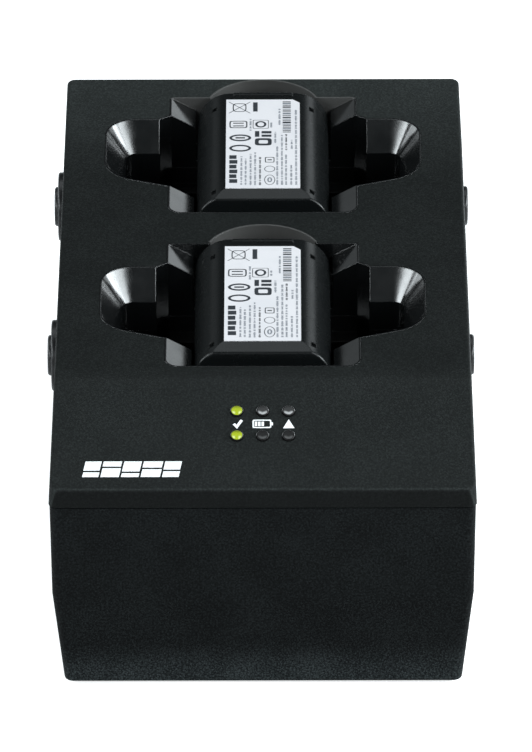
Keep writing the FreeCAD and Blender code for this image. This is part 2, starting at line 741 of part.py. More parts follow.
def liner_body(bay):
    """Everything the bay mouldings fill, before they are parted, in the bay's own place."""
    bottom = liner_bottom()
    rim = rim_prism(LINER_RIM, bottom)
    room = box(-HALF_DEPTH, HALF_DEPTH, -HALF_DEPTH, HALF_DEPTH, bottom, CASE_HEIGHT - WALL)
    skirt = rim_prism(LINER_WALL, bottom).common(room)
    skirt = skirt.common(moved(cover_form(WALL), y=-BAY_CENTRES[bay]))
    low = SLOT_FLOOR - LINER_WALL
    faces = [slot_middle_face(low, -LINER_WALL)]
    for side in (-1, 1):
        faces.append(Part.Face(flare_wire(side, LEAD_IN - LINER_WALL, low)))
    wells = [face.extrude(Vector(0, 0, bottom - low)) for face in faces]
    body = rim.fuse([skirt] + wells).cut(bay_cavity())
    body = body.cut(moved(tongue_room(), y=-BAY_CENTRES[bay]))
    blocks = [
        contact_block_box(NEST_BLOCK_Y, NEST_FLOOR + 0.01),
        contact_block_box(SLOT_BLOCK_Y, SLOT_FLOOR + 0.01),
    ]
    return body.cut(blocks)


def bay_part(bay, z0, z1):
    """The bay mouldings between two heights, where the bay lies in the case."""
    slab = box(-HALF_DEPTH, HALF_DEPTH, -HALF_DEPTH, HALF_DEPTH, z0, z1)
    body = liner_body(bay).common(slab).removeSplitter()
    return moved(body, y=BAY_CENTRES[bay])


def bay_liner(bay):
    """Glossy upper moulding: rim, ramps, nest, funnels and finger scoop."""
    return bay_part(bay, liner_bottom(), CASE_HEIGHT)


def slot_well(bay):
    """Deep cup under the liner that takes a standing transmitter."""
    return bay_part(bay, SLOT_FLOOR - LINER_WALL, liner_bottom())


# ---- contacts ---------------------------------------------------------------------------------

def pin_xs():
    """Places of the pins along a contact block."""
    middle = (PIN_COUNT - 1) / 2
    return [(i - middle) * PIN_PITCH for i in range(PIN_COUNT)]


def chamber_top(top):
    """Upper end of the spring chambers under a block's upper face."""
    return top - CHAMBER_ROOF


def chamber_floor(top):
    """Lower end of the spring chambers."""
    return top - CONTACT_BLOCK_HEIGHT + CHAMBER_SILL


def contact_block(bay, y, top):
    """Insulating block with a stepped bore for each pin."""
    block = contact_block_box(y, top)
    block = fillet_where(block, CONTACT_BLOCK_EDGE, lambda e, m: abs(m.z - top) < 0.01)
    cutters = []
    for x in pin_xs():
        cutters.append(post(PIN_RADIUS + PIN_CLEARANCE, x, y, top - 3, top + 1))
        cutters.append(post(CHAMBER_RADIUS, x, y, chamber_floor(top), chamber_top(top)))
    return moved(block.cut(cutters), y=BAY_CENTRES[bay])


def contact_pins(bay, y, top, tip):
    """Plungers with a collar each, one solid per pin."""
    pins = []
    shoulder = chamber_top(top) - COLLAR_SLACK
    for x in pin_xs():
        stem = post(PIN_RADIUS, x, y, shoulder - COLLAR_HEIGHT, tip)
        stem = fillet_where(stem, PIN_RADIUS * 0.7, lambda e, m: abs(m.z - tip) < 0.01)
        collar = post(COLLAR_RADIUS, x, y, shoulder - COLLAR_HEIGHT, shoulder)
        pins.append(stem.fuse(collar).removeSplitter())
    return moved(Part.makeCompound(pins), y=BAY_CENTRES[bay])


def contact_springs(bay, y, top):
    """One coil under each collar."""
    low = chamber_floor(top) + SPRING_WIRE
    high = chamber_top(top) - 2 * COLLAR_SLACK - COLLAR_HEIGHT - SPRING_WIRE
    radius = COLLAR_RADIUS - SPRING_WIRE - COLLAR_SLACK
    coil = Part.makeHelix((high - low) / SPRING_TURNS, high - low, radius)
    section = Part.Wire(Part.makeCircle(SPRING_WIRE, Vector(radius, 0, 0), Vector(0, 1, 0)))
    spring = Part.Wire(coil.Edges).makePipeShell([section], True, True)
    springs = [moved(spring, x, y, low) for x in pin_xs()]
    return moved(Part.makeCompound(springs), y=BAY_CENTRES[bay])


# ---- rechargeable pack ------------------------------------------------------------------------

def pack_form(inset):
    """Outer form of the pack, centred at x = 0, y = 0."""
    half = PACK_WIDTH / 2 - inset
    length = PACK_LENGTH - 2 * inset
    high = PACK_TOP - inset
    low = PACK_BOTTOM + inset
    block = box(-half, half, -length / 2, length / 2, low, high)

    def lengthwise(height):
        return lambda e, m: abs(m.y) < 0.01 and abs(m.z - height) < 0.01

    block = fillet_where(block, PACK_TOP_RADIUS - inset, lengthwise(high))
    block = fillet_where(block, PACK_BOTTOM_RADIUS - inset, lengthwise(low))
    near = -length / 2
    bevel = extrude(
        [
            Vector(-half - 1, near - 1, high + 1),
            Vector(-half - 1, near + PACK_BEVEL_LENGTH, high + 1),
            Vector(-half - 1, near + PACK_BEVEL_LENGTH, high),
            Vector(-half - 1, near, high - PACK_BEVEL_DROP),
            Vector(-half - 1, near - 1, high - PACK_BEVEL_DROP),
        ],
        Vector(2 * half + 2, 0, 0),
    )
    return block.cut(bevel)


def pack_outside():
    """Pack form with softened ends and the small raised tab at its rear."""
    form = pack_form(0)
    form = fillet_where(form, 0.5, lambda e, m: abs(abs(m.y) - PACK_LENGTH / 2) < 0.01)
    tab = box(
        -PACK_TAB_WIDTH / 2,
        PACK_TAB_WIDTH / 2,
        PACK_LENGTH / 2 - PACK_TAB_MARGIN - PACK_TAB_LENGTH,
        PACK_LENGTH / 2 - PACK_TAB_MARGIN,
        PACK_TOP - 1,
        PACK_TOP + PACK_TAB_HEIGHT,
    )
    tab = fillet_where(tab, PACK_TAB_EDGE, lambda e, m: abs(m.z - PACK_TOP - PACK_TAB_HEIGHT) < 0.01)
    return form.fuse(tab).removeSplitter()


def label_prism(z0, z1, clearance):
    """Plan of the label, one corner cut, as a prism."""
    half = LABEL_WIDTH / 2 + clearance
    end = LABEL_LENGTH / 2 + clearance
    points = [
        Vector(-half, -end, z0),
        Vector(half, -end, z0),
        Vector(half, end - LABEL_CHAMFER, z0),
        Vector(half - LABEL_CHAMFER, end, z0),
        Vector(-half, end, z0),
    ]
    return extrude(points, Vector(0, 0, z1 - z0))


def pack_seam():
    """Height where the pack's two halves meet."""
    return PACK_BOTTOM + PACK_SEAM_HEIGHT


def pack_half(upper):
    """One half of the pack's shell."""
    shell = pack_outside().cut(pack_form(PACK_WALL))
    seam = pack_seam()
    reach = PACK_LENGTH
    if upper:
        shell = shell.common(box(-reach, reach, -reach, reach, seam + PACK_SEAM_GAP, PACK_TOP + 5))
        cutters = [label_prism(PACK_TOP - LABEL_RECESS, PACK_TOP + 1, PACK_FILM_GAP)]
        for x in (-WINDOW_X, WINDOW_X):
            for y in (-LABEL_LENGTH / 2, LABEL_LENGTH / 2 - 3.0):
                cutters.append(box(x - 0.5, x + 0.5, y - 0.9, y + 0.9, PACK_TOP - WINDOW_DEPTH, PACK_TOP))
        return shell.cut(cutters)
    shell = shell.common(box(-reach, reach, -reach, reach, PACK_BOTTOM - 1, seam))
    lip = pack_form(PACK_WALL).cut(pack_form(PACK_WALL + 0.5))
    lip = lip.common(box(-reach, reach, -reach, reach, seam - PACK_LIP_DEPTH, seam + PACK_LIP_HEIGHT))
    pads = [pack_pad_box(x, PAD_CLEARANCE) for x in pin_xs()]
    return shell.fuse(lip).cut(pads).removeSplitter()


def pack_pad_box(x, clearance=0.0):
    """Contact pad let into the pack's underside, above one nest pin."""
    y = NEST_BLOCK_Y - PACK_OFFSET_Y
    half = PAD_HALF_WIDTH + clearance
    reach = PAD_HALF_LENGTH + clearance
    return box(x - half, x + half, y - reach, y + reach, PACK_BOTTOM, PACK_BOTTOM + PACK_WALL)


def pack_cells():
    """Two round cells side by side."""
    height = PACK_BOTTOM + PACK_WALL + CELL_RADIUS
    cells = []
    for side in (-1, 1):
        x = side * (CELL_RADIUS + PACK_CELL_GAP)
        can = rod_y(CELL_RADIUS, x, -CELL_LENGTH / 2 + 2.0, CELL_LENGTH / 2 + 2.0, height)
        can = fillet_where(can, 0.5, lambda e, m: abs(e.Length - 2 * math.pi * CELL_RADIUS) < 0.01)
        cells.append(can)
    return Part.makeCompound(cells)


def pack_board():
    """Protection board across the near end, tied to the pads."""
    near = -PACK_LENGTH / 2 + PACK_WALL + PACK_BOARD_GAP
    half = PACK_BOARD_HALF_WIDTH
    low = PACK_BOTTOM + PACK_BOARD_LOW
    return box(-half, half, near, near + PACK_BOARD_THICKNESS, low, PACK_TOP - PACK_BOARD_HIGH)


def pack_pads():
    """Three contact pads with their tails up to the protection board."""
    pads = []
    near = -PACK_LENGTH / 2 + PACK_WALL + PACK_BOARD_GAP + PACK_BOARD_THICKNESS
    low = PACK_BOTTOM + PACK_WALL
    foot_y = NEST_BLOCK_Y - PACK_OFFSET_Y
    for x in pin_xs():
        pad = pack_pad_box(x)
        tail = box(x - PAD_TAIL, x + PAD_TAIL, near, foot_y + PAD_TAIL, low, low + PAD_SHEET)
        rise = box(x - PAD_TAIL, x + PAD_TAIL, near, near + PAD_SHEET, low, low + PAD_RISE)
        pads.append(pad.fuse([tail, rise]).removeSplitter())
    return Part.makeCompound(pads)


def save_pack(bay):
    """Write the nodes of one pack where it lies in its bay."""
    place = BAY_CENTRES[bay] + PACK_OFFSET_Y
    pieces = {
        "upper_shell": pack_half(True),
        "lower_shell": pack_half(False),
        "label": label_prism(PACK_TOP - LABEL_RECESS, PACK_TOP - LABEL_RECESS + LABEL_THICKNESS, 0),
        "cells": pack_cells(),
        "protection_board": pack_board(),
        "contact_pads": pack_pads(),
    }
    for name, shape in pieces.items():
        save("pack_" + bay + "_" + name, moved(shape, y=place))


# ---- indicators -------------------------------------------------------------------------------

def lens(x, down):
    """Light pipe: domed head in the panel, flange behind it and a tail to the lamp."""
    head = post(LENS_RADIUS - LENS_CLEARANCE, x, -down, -WALL, LENS_DOME)
    head = fillet_where(head, LENS_DOME * 0.9, lambda e, m: abs(m.z - LENS_DOME) < 0.01)
    flange = post(LENS_RADIUS + LENS_FLANGE, x, -down, -WALL - LENS_FLANGE_THICKNESS, -WALL)
    tail = post(LENS_RADIUS - LENS_TAIL_INSET, x, -down, -WALL - LENS_TAIL, -WALL)
    return on_panel(head.fuse([flange, tail]).removeSplitter())


def lamp_top():
    """Height of the lamps' faces below the panel."""
    return -WALL - LENS_TAIL - LAMP_GAP


def indicator_board():
    """Small board under the panel."""
    top = lamp_top() - LAMP_HEIGHT
    half = LAMP_BOARD_HALF
    near = -LENS_ROWS[1] - LAMP_BOARD_MARGIN
    far = -LENS_ROWS[0] + LAMP_BOARD_MARGIN
    return on_panel(box(-half, half, near, far, top - LAMP_BOARD_THICKNESS, top))


def indicator_lamps():
    """Six surface-mount lamps."""
    top = lamp_top()
    lamps = []
    for _, _, x, down in lens_places():
        half = LAMP_HALF_WIDTH
        near = -down - LAMP_HALF_LENGTH
        far = -down + LAMP_HALF_LENGTH
        lamps.append(on_panel(box(x - half, x + half, near, far, top - LAMP_HEIGHT, top)))
    return Part.makeCompound(lamps)


def indicator_pegs():
    """Two pegs on the cover that carry the indicator board."""
    top = lamp_top() - LAMP_HEIGHT
    down = (LENS_ROWS[0] + LENS_ROWS[1]) / 2
    high = -WALL + LAMP_PEG_ROOT
    return [on_panel(post(LAMP_PEG_RADIUS, x, -down, top, high)) for x in (-LAMP_PEG_X, LAMP_PEG_X)]


# ---- electronics ------------------------------------------------------------------------------

def main_board():
    """Charging board on its four posts."""
    half = HALF_WIDTH - BOARD_INSET_X
    board = box(-half, half, BOARD_FRONT_Y, BOARD_REAR_Y, BOARD_HEIGHT, BOARD_TOP)
    middle = (BOARD_HEIGHT + BOARD_TOP) / 2
    board = fillet_where(board, BOARD_CORNER_RADIUS, lambda e, m: abs(m.z - middle) < 0.01)
    tab_half = BOARD_TAB_WIDTH / 2
    tab_end = BASE_HALF_DEPTH - WALL - BOARD_TAB_GAP
    tab = box(-tab_half, tab_half, BOARD_REAR_Y - 5, tab_end, BOARD_HEIGHT, BOARD_TOP)
    board = board.fuse(tab).removeSplitter()
    low = BOARD_HEIGHT - 1
    return board.cut([post(BOARD_HOLE_RADIUS, x, y, low, BOARD_TOP + 1) for x, y in board_post_places()])


def board_screws():
    """Four pan-head screws from above."""
    made = screw(BOARD_SCREW_RADIUS, 2 * BOARD_SCREW_RADIUS, BOARD_SCREW_HEAD_HEIGHT, BOARD_SCREW_LENGTH)
    made.rotate(Vector(0, 0, 0), Vector(1, 0, 0), 180)
    top = BOARD_TOP + BOARD_SCREW_HEAD_HEIGHT
    return Part.makeCompound([moved(made, x, y, top) for x, y in board_post_places()])


def dc_inlet():
    """Barrel inlet on the board's rear edge, its nose in the base's wall."""
    z = inlet_height()
    wall_in = BASE_HALF_DEPTH - WALL
    body = box(
        INLET_X - INLET_WIDTH / 2,
        INLET_X + INLET_WIDTH / 2,
        wall_in - INLET_LENGTH,
        wall_in,
        BOARD_TOP,
        BOARD_TOP + INLET_HEIGHT,
    )
    nose = rod_y(INLET_NOSE_RADIUS, INLET_X, wall_in, BASE_HALF_DEPTH - INLET_NOSE_SETBACK, z)
    bore = rod_y(INLET_BORE, INLET_X, wall_in - INLET_LENGTH + INLET_BACK, HALF_DEPTH, z)
    return body.fuse(nose).cut(bore).removeSplitter()


def dc_inlet_pin():
    """Centre pin of the inlet."""
    wall_in = BASE_HALF_DEPTH - WALL
    start = wall_in - INLET_LENGTH + INLET_BACK
    tip = BASE_HALF_DEPTH - INLET_PIN_SETBACK
    pin = rod_y(INLET_PIN_RADIUS, INLET_X, start, tip, inlet_height())
    return fillet_where(pin, INLET_PIN_RADIUS * 0.4, lambda e, m: m.y > tip - 0.01)


def inductors():
    """Two square power inductors, one per charging channel."""
    made = []
    half = INDUCTOR_SIZE / 2
    top = BOARD_TOP + INDUCTOR_HEIGHT
    middle = (BOARD_TOP + top) / 2
    for x in (-CHANNEL_X, CHANNEL_X):
        body = box(x - half, x + half, CHANNEL_Y - half, CHANNEL_Y + half, BOARD_TOP, top)
        made.append(fillet_where(body, INDUCTOR_CORNER, lambda e, m: abs(m.z - middle) < 0.01))
    return Part.makeCompound(made)


def capacitors():
    """Electrolytic capacitors behind the inlet and by each channel."""
    made = []
    top = BOARD_TOP + CAPACITOR_HEIGHT
    inlet_y = BOARD_REAR_Y - CAPACITOR_INLET_INSET
    channel_y = CHANNEL_Y - CAPACITOR_CHANNEL_STEP
    for across, y in ((CAPACITOR_INLET_X, inlet_y), (CHANNEL_X, channel_y)):
        for x in (-across, across):
            can = post(CAPACITOR_RADIUS, x, y, BOARD_TOP, top)
            made.append(fillet_where(can, CAPACITOR_EDGE, lambda e, m: abs(m.z - top) < 0.01))
    return Part.makeCompound(made)


def chip(x, y, width, length, height):
    """Integrated circuit with legs along two sides."""
    half = width / 2
    low = BOARD_TOP + CHIP_STANDOFF
    body = box(x - half, x + half, y - length / 2, y + length / 2, low, BOARD_TOP + height)
    count = int(length / CHIP_PITCH)
    reach = half + CHIP_LEG_REACH
    leg = CHIP_LEG_HALF
    leg_top = BOARD_TOP + CHIP_LEG_HEIGHT
    legs = []
    for i in range(count):
        at = y + (i - (count - 1) / 2) * CHIP_PITCH
        legs.append(box(x - reach, x + reach, at - leg, at + leg, BOARD_TOP, leg_top))
    return body.fuse(legs).removeSplitter()


def charger_chips():
    """One charge controller per channel."""
    y = CHANNEL_Y + CONTROLLER_STEP
    return Part.makeCompound([chip(x, y, *CONTROLLER_SIZE) for x in (-CHANNEL_X, CHANNEL_X)])


def processor_chip():
    """Processor that reads the packs and drives the lamps."""
    return chip(0, PROCESSOR_Y, *PROCESSOR_SIZE)


def header(half, y):
    """One socket across the board."""
    near = y - HEADER_HALF_LENGTH
    return box(-half, half, near, y + HEADER_HALF_LENGTH, BOARD_TOP, BOARD_TOP + HEADER_HEIGHT)


def board_headers():
    """Sockets on the board: one under each contact lead and one for the panel lead."""
    made = []
    for centre in BAY_CENTRES.values():
        for y in (centre + NEST_BLOCK_Y, centre + SLOT_BLOCK_Y):
            made.append(header(HEADER_HALF_WIDTH, y))
    made.append(header(PANEL_HEADER_HALF_WIDTH, BOARD_FRONT_Y + PANEL_HEADER_INSET))
    return Part.makeCompound(made)


def contact_leads():
    """Flat leads from the contact blocks down to the board."""
    made = []
    half = LEAD_HALF_WIDTH
    for centre in BAY_CENTRES.values():
        for y, top in ((NEST_BLOCK_Y, NEST_FLOOR), (SLOT_BLOCK_Y, SLOT_FLOOR)):
            at = centre + y
            near = at - LEAD_HALF_THICKNESS
            far = at + LEAD_HALF_THICKNESS
            high = top - CONTACT_BLOCK_HEIGHT
            made.append(box(-half, half, near, far, BOARD_TOP + HEADER_HEIGHT, high))
    return Part.makeCompound(made)


def panel_lead():
    """Flat lead from the indicator board to the board's front socket."""
    board_low = lamp_top() - LAMP_HEIGHT - LAMP_BOARD_THICKNESS
    angle = math.radians(PANEL_ANGLE)
    down = (LENS_ROWS[0] + LENS_ROWS[1]) / 2
    start_y = FOLD_Y - down * math.cos(angle) - board_low * math.sin(angle)
    start_z = CASE_HEIGHT - down * math.sin(angle) + board_low * math.cos(angle)
    end_y = BOARD_FRONT_Y + PANEL_HEADER_INSET
    end_z = BOARD_TOP + HEADER_HEIGHT
    bend = PANEL_LEAD_BEND
    fall = Vector(0, math.sin(angle), -math.cos(angle))
    first = Vector(0, start_y, start_z)
    knee = first + fall * ((end_y - start_y) / fall.y)
    run = abs(knee.z - first.z)
    turn = angle
    tangent = bend * math.tan(turn / 2)
    before = knee - fall * tangent
    after = Vector(0, knee.y, knee.z - tangent)
    centre = Vector(0, knee.y - bend, after.z)
    middle = centre + Vector(0, math.cos(turn / 2), math.sin(turn / 2)) * bend
    wire = Part.Wire(
        [
            Part.makeLine(first, before),
            Part.Arc(before, middle, after).toShape(),
            Part.makeLine(after, Vector(0, end_y, end_z)),
        ]
    )
    half = PANEL_LEAD_HALF_WIDTH
    thick = Vector(0, math.cos(angle), math.sin(angle)) * LEAD_HALF_THICKNESS
    section = polygon(
        [
            first + Vector(-half, 0, 0) - thick,
            first + Vector(half, 0, 0) - thick,
            first + Vector(half, 0, 0) + thick,
            first + Vector(-half, 0, 0) + thick,
        ]
    )
    return wire.makePipeShell([section], True, False)


# ---- link ports -------------------------------------------------------------------------------

def wall_x():
    """Outer face of the base's side wall at the ports' height."""
    share = (BASE_TOP - PORT_HEIGHT) / (BASE_TOP - TAPER_HEIGHT)
    return BASE_HALF_WIDTH - SIDE_DRAFT * share


def port_y(bay):
    """Where a bay's link ports are along the case."""
    return BAY_CENTRES[bay] + PORT_OFFSET_Y


def link_plug(side, bay):
    """Round plug that closes a link port, with a finger groove round its head."""
    proud = PLUG_PROUD_LEFT if side < 0 else PLUG_PROUD_RIGHT
    face = wall_x() + proud
    y = port_y(bay)
    inner = wall_x() - WALL + PLUG_HEAD_SEAT
    head = rod_x(PLUG_RADIUS, inner, face, y, PORT_HEIGHT)
    head = fillet_where(head, PLUG_EDGE, lambda e, m: abs(m.x - face) < 0.01)
    shank = rod_x(PLUG_SHANK, inner - PLUG_SHANK_LENGTH, inner, y, PORT_HEIGHT)
    dish_x = face + PLUG_DISH_RADIUS - PLUG_DISH_DEPTH
    dish = Part.makeSphere(PLUG_DISH_RADIUS, Vector(dish_x, y, PORT_HEIGHT))
    plug = head.fuse(shank).cut(dish).removeSplitter()
    if side < 0:
        plug = plug.mirror(Vector(0, 0, 0), Vector(1, 0, 0))
    return plug


def link_bezel(bay):
    """Wide ring round a left port."""
    y = port_y(bay)
    face = -(wall_x() + BEZEL_PROUD)
    ring = rod_x(BEZEL_RADIUS, face, face + BEZEL_PROUD + WALL / 2, y, PORT_HEIGHT)
    ring = fillet_where(ring, BEZEL_EDGE, lambda e, m: abs(m.x - face) < 0.01)
    bore = rod_x(PORT_BORE, face - 1, face + BEZEL_PROUD + WALL, y, PORT_HEIGHT)
    return ring.cut([bore, base_form(0, FOOT_PROUD, BASE_TOP)])


def link_sockets(side):
    """Cup-shaped connectors behind the two ports of one side."""
    cups = []
    for bay in BAY_CENTRES:
        y = port_y(bay)
        outer = wall_x() - WALL
        cup = rod_x(SOCKET_RADIUS, outer - SOCKET_LENGTH, outer + 1, y, PORT_HEIGHT)
        cup = cup.common(base_form(WALL, FOOT_PROUD + WALL, BASE_TOP))
        back = outer - SOCKET_LENGTH
        cup = cup.cut(rod_x(PLUG_SHANK + SOCKET_CLEARANCE, back + SOCKET_BACK, outer + 1, y, PORT_HEIGHT))
        for dy in (-SOCKET_PIN_PITCH, 0.0, SOCKET_PIN_PITCH):
            cup = cup.fuse(rod_x(SOCKET_PIN_RADIUS, back, back + SOCKET_PIN_LENGTH, y + dy, PORT_HEIGHT))
        if side < 0:
            cup = cup.mirror(Vector(0, 0, 0), Vector(1, 0, 0))
        cups.append(cup.removeSplitter())
    return Part.makeCompound(cups)


def link_leads():
    """Round leads from each socket's back down to the board."""
    leads = []
    radius = LINK_LEAD_RADIUS
    bend = LINK_LEAD_BEND
    for side in (-1, 1):
        for bay in BAY_CENTRES:
            y = port_y(bay)
            if y > BOARD_REAR_Y - 2:
                y = BOARD_REAR_Y - 2
            back = wall_x() - WALL - SOCKET_LENGTH
            first = Vector(side * back, y, PORT_HEIGHT)
            turn = Vector(side * (back - 1.0), y, PORT_HEIGHT)
            drop = Vector(side * (back - 1.0 - bend), y, PORT_HEIGHT - bend)
            slope = math.sqrt(0.5) * bend
            middle = Vector(side * (back - 1.0 - slope), y, PORT_HEIGHT - bend + slope)
            last = Vector(drop.x, y, BOARD_TOP)
            path = Part.Wire(
                [
                    Part.makeLine(first, turn),
                    Part.Arc(turn, middle, drop).toShape(),
                    Part.makeLine(drop, last),
                ]
            )
            ring = Part.Wire(Part.makeCircle(radius, first, Vector(1, 0, 0)))
            leads.append(path.makePipeShell([ring], True, False))
    return Part.makeCompound(leads)


# ---- write every node -------------------------------------------------------------------------

save("top_cover", top_cover())
save("base_shell", base_shell())
save("rubber_feet", rubber_feet())
save("cover_screws", cover_screws())
save("main_board", main_board())
save("board_screws", board_screws())
save("dc_inlet", dc_inlet())
save("dc_inlet_pin", dc_inlet_pin())
save("inductors", inductors())
save("capacitors", capacitors())
save("charger_chips", charger_chips())
save("processor_chip", processor_chip())
save("board_headers", board_headers())
save("contact_leads", contact_leads())
save("indicator_board", indicator_board())
save("indicator_lamps", indicator_lamps())
save("panel_lead", panel_lead())
save("link_leads", link_leads())
for lens_column, lens_row, lens_x, lens_down in lens_places():
    save("lens_" + lens_column + "_" + lens_row, lens(lens_x, lens_down))
for side_name, side_sign in (("left", -1), ("right", 1)):
    save("link_sockets_" + side_name, link_sockets(side_sign))
    for bay_name in BAY_CENTRES:
        save("link_plug_" + side_name + "_" + bay_name, link_plug(side_sign, bay_name))
for bay_name in BAY_CENTRES:
    save("bay_liner_" + bay_name, bay_liner(bay_name))
    save("slot_well_" + bay_name, slot_well(bay_name))
    save("link_bezel_" + bay_name, link_bezel(bay_name))
    save_pack(bay_name)
    contact_sets = (
        ("nest", NEST_BLOCK_Y, NEST_FLOOR, PACK_BOTTOM - NEST_PIN_GAP),
        ("slot", SLOT_BLOCK_Y, SLOT_FLOOR, SLOT_FLOOR + SLOT_PIN_PROUD),
    )
    for set_name, set_y, set_top, set_tip in contact_sets:
        save(set_name + "_block_" + bay_name, contact_block(bay_name, set_y, set_top))
        save(set_name + "_pins_" + bay_name, contact_pins(bay_name, set_y, set_top, set_tip))
        save(set_name + "_springs_" + bay_name, contact_springs(bay_name, set_y, set_top))
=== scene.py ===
"""Looks of a two-bay docking charger that holds two flat rechargeable packs.

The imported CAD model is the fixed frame. This script gives every CAD node its finish, adds the
printed marks and the small parts on the boards, and sets up a plain studio. Metres throughout,
with +X to the right, +Y to the rear and +Z up.
"""

import json
import logging
import math
from dataclasses import dataclass, field, replace
from enum import Enum
from typing import Mapping, Sequence, Union

import bmesh
import bpy
import numpy as np
from mathutils import Matrix, Vector

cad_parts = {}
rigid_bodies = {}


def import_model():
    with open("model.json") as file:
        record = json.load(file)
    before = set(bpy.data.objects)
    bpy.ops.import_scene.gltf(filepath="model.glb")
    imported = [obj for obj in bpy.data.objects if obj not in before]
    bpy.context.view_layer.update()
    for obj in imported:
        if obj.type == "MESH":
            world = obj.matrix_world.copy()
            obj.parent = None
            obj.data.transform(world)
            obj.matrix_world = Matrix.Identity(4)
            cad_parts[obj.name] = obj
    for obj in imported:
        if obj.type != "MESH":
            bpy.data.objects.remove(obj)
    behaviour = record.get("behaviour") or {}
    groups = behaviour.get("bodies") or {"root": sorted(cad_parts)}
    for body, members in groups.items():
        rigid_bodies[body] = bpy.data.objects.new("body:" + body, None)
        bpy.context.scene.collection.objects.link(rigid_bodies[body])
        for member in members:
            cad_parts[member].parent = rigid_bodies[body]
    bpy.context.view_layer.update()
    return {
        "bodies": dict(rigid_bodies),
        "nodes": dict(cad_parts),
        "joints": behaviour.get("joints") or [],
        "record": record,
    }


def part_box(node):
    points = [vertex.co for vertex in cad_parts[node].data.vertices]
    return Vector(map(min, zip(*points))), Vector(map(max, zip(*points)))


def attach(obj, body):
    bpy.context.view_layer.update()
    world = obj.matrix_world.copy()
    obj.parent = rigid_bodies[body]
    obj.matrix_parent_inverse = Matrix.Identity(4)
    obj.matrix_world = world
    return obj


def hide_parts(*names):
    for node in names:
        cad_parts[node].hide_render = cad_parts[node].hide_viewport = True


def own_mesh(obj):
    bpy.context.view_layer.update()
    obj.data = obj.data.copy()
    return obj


MM = 0.001
MERGE = 1e-7          # points of a loose mesh that lie closer than this are one point
RING_POINTS = 48
log = logging.getLogger("charger")

Colour = tuple[float, float, float]
Points = np.ndarray
Value = Union["Signal", float, int, Sequence[float]]


# ---- shader graph ------------------------------

class Signal:
    """One number on its way through a shader, with arithmetic that adds its own Math nodes."""

    def __init__(self, graph: "Graph", socket: bpy.types.NodeSocket) -> None:
        """Keep the graph and the output socket that this number comes from."""
        self.graph = graph
        self.socket = socket

    def _math(self, operation: str, first: Value, second: Value) -> "Signal":
        """Join two numbers by one Math node."""
        return self.graph.node("ShaderNodeMath", {"operation": operation}, {0: first, 1: second})

    def __add__(self, other: Value) -> "Signal":
        """Sum."""
        return self._math("ADD", self, other)

    def __sub__(self, other: Value) -> "Signal":
        """Difference."""
        return self._math("SUBTRACT", self, other)

    def __rsub__(self, other: Value) -> "Signal":
        """Difference with the number on the left."""
        return self._math("SUBTRACT", other, self)

    def __mul__(self, other: Value) -> "Signal":
        """Product."""
        return self._math("MULTIPLY", self, other)

    __radd__ = __add__
    __rmul__ = __mul__

    def __pow__(self, other: Value) -> "Signal":
        """Power."""
        return self._math("POWER", self, other)

    def least(self, other: Value) -> "Signal":
        """The smaller of two numbers."""
        return self._math("MINIMUM", self, other)

    def remainder(self, step: Value) -> "Signal":
        """What is left after whole steps, never below nought."""
        return self._math("FLOORED_MODULO", self, step)

    def size(self) -> "Signal":
        """This number without its sign."""
        return self._math("ABSOLUTE", self, 0.0)

    def ramp(self, low: float, high: float) -> "Signal":
        """Nought at the low end, one at the high end, smooth between them."""
        inputs = {0: self, 1: low, 2: high, 3: 0.0, 4: 1.0}
        return self.graph.node("ShaderNodeMapRange", {"interpolation_type": "SMOOTHSTEP"}, inputs)


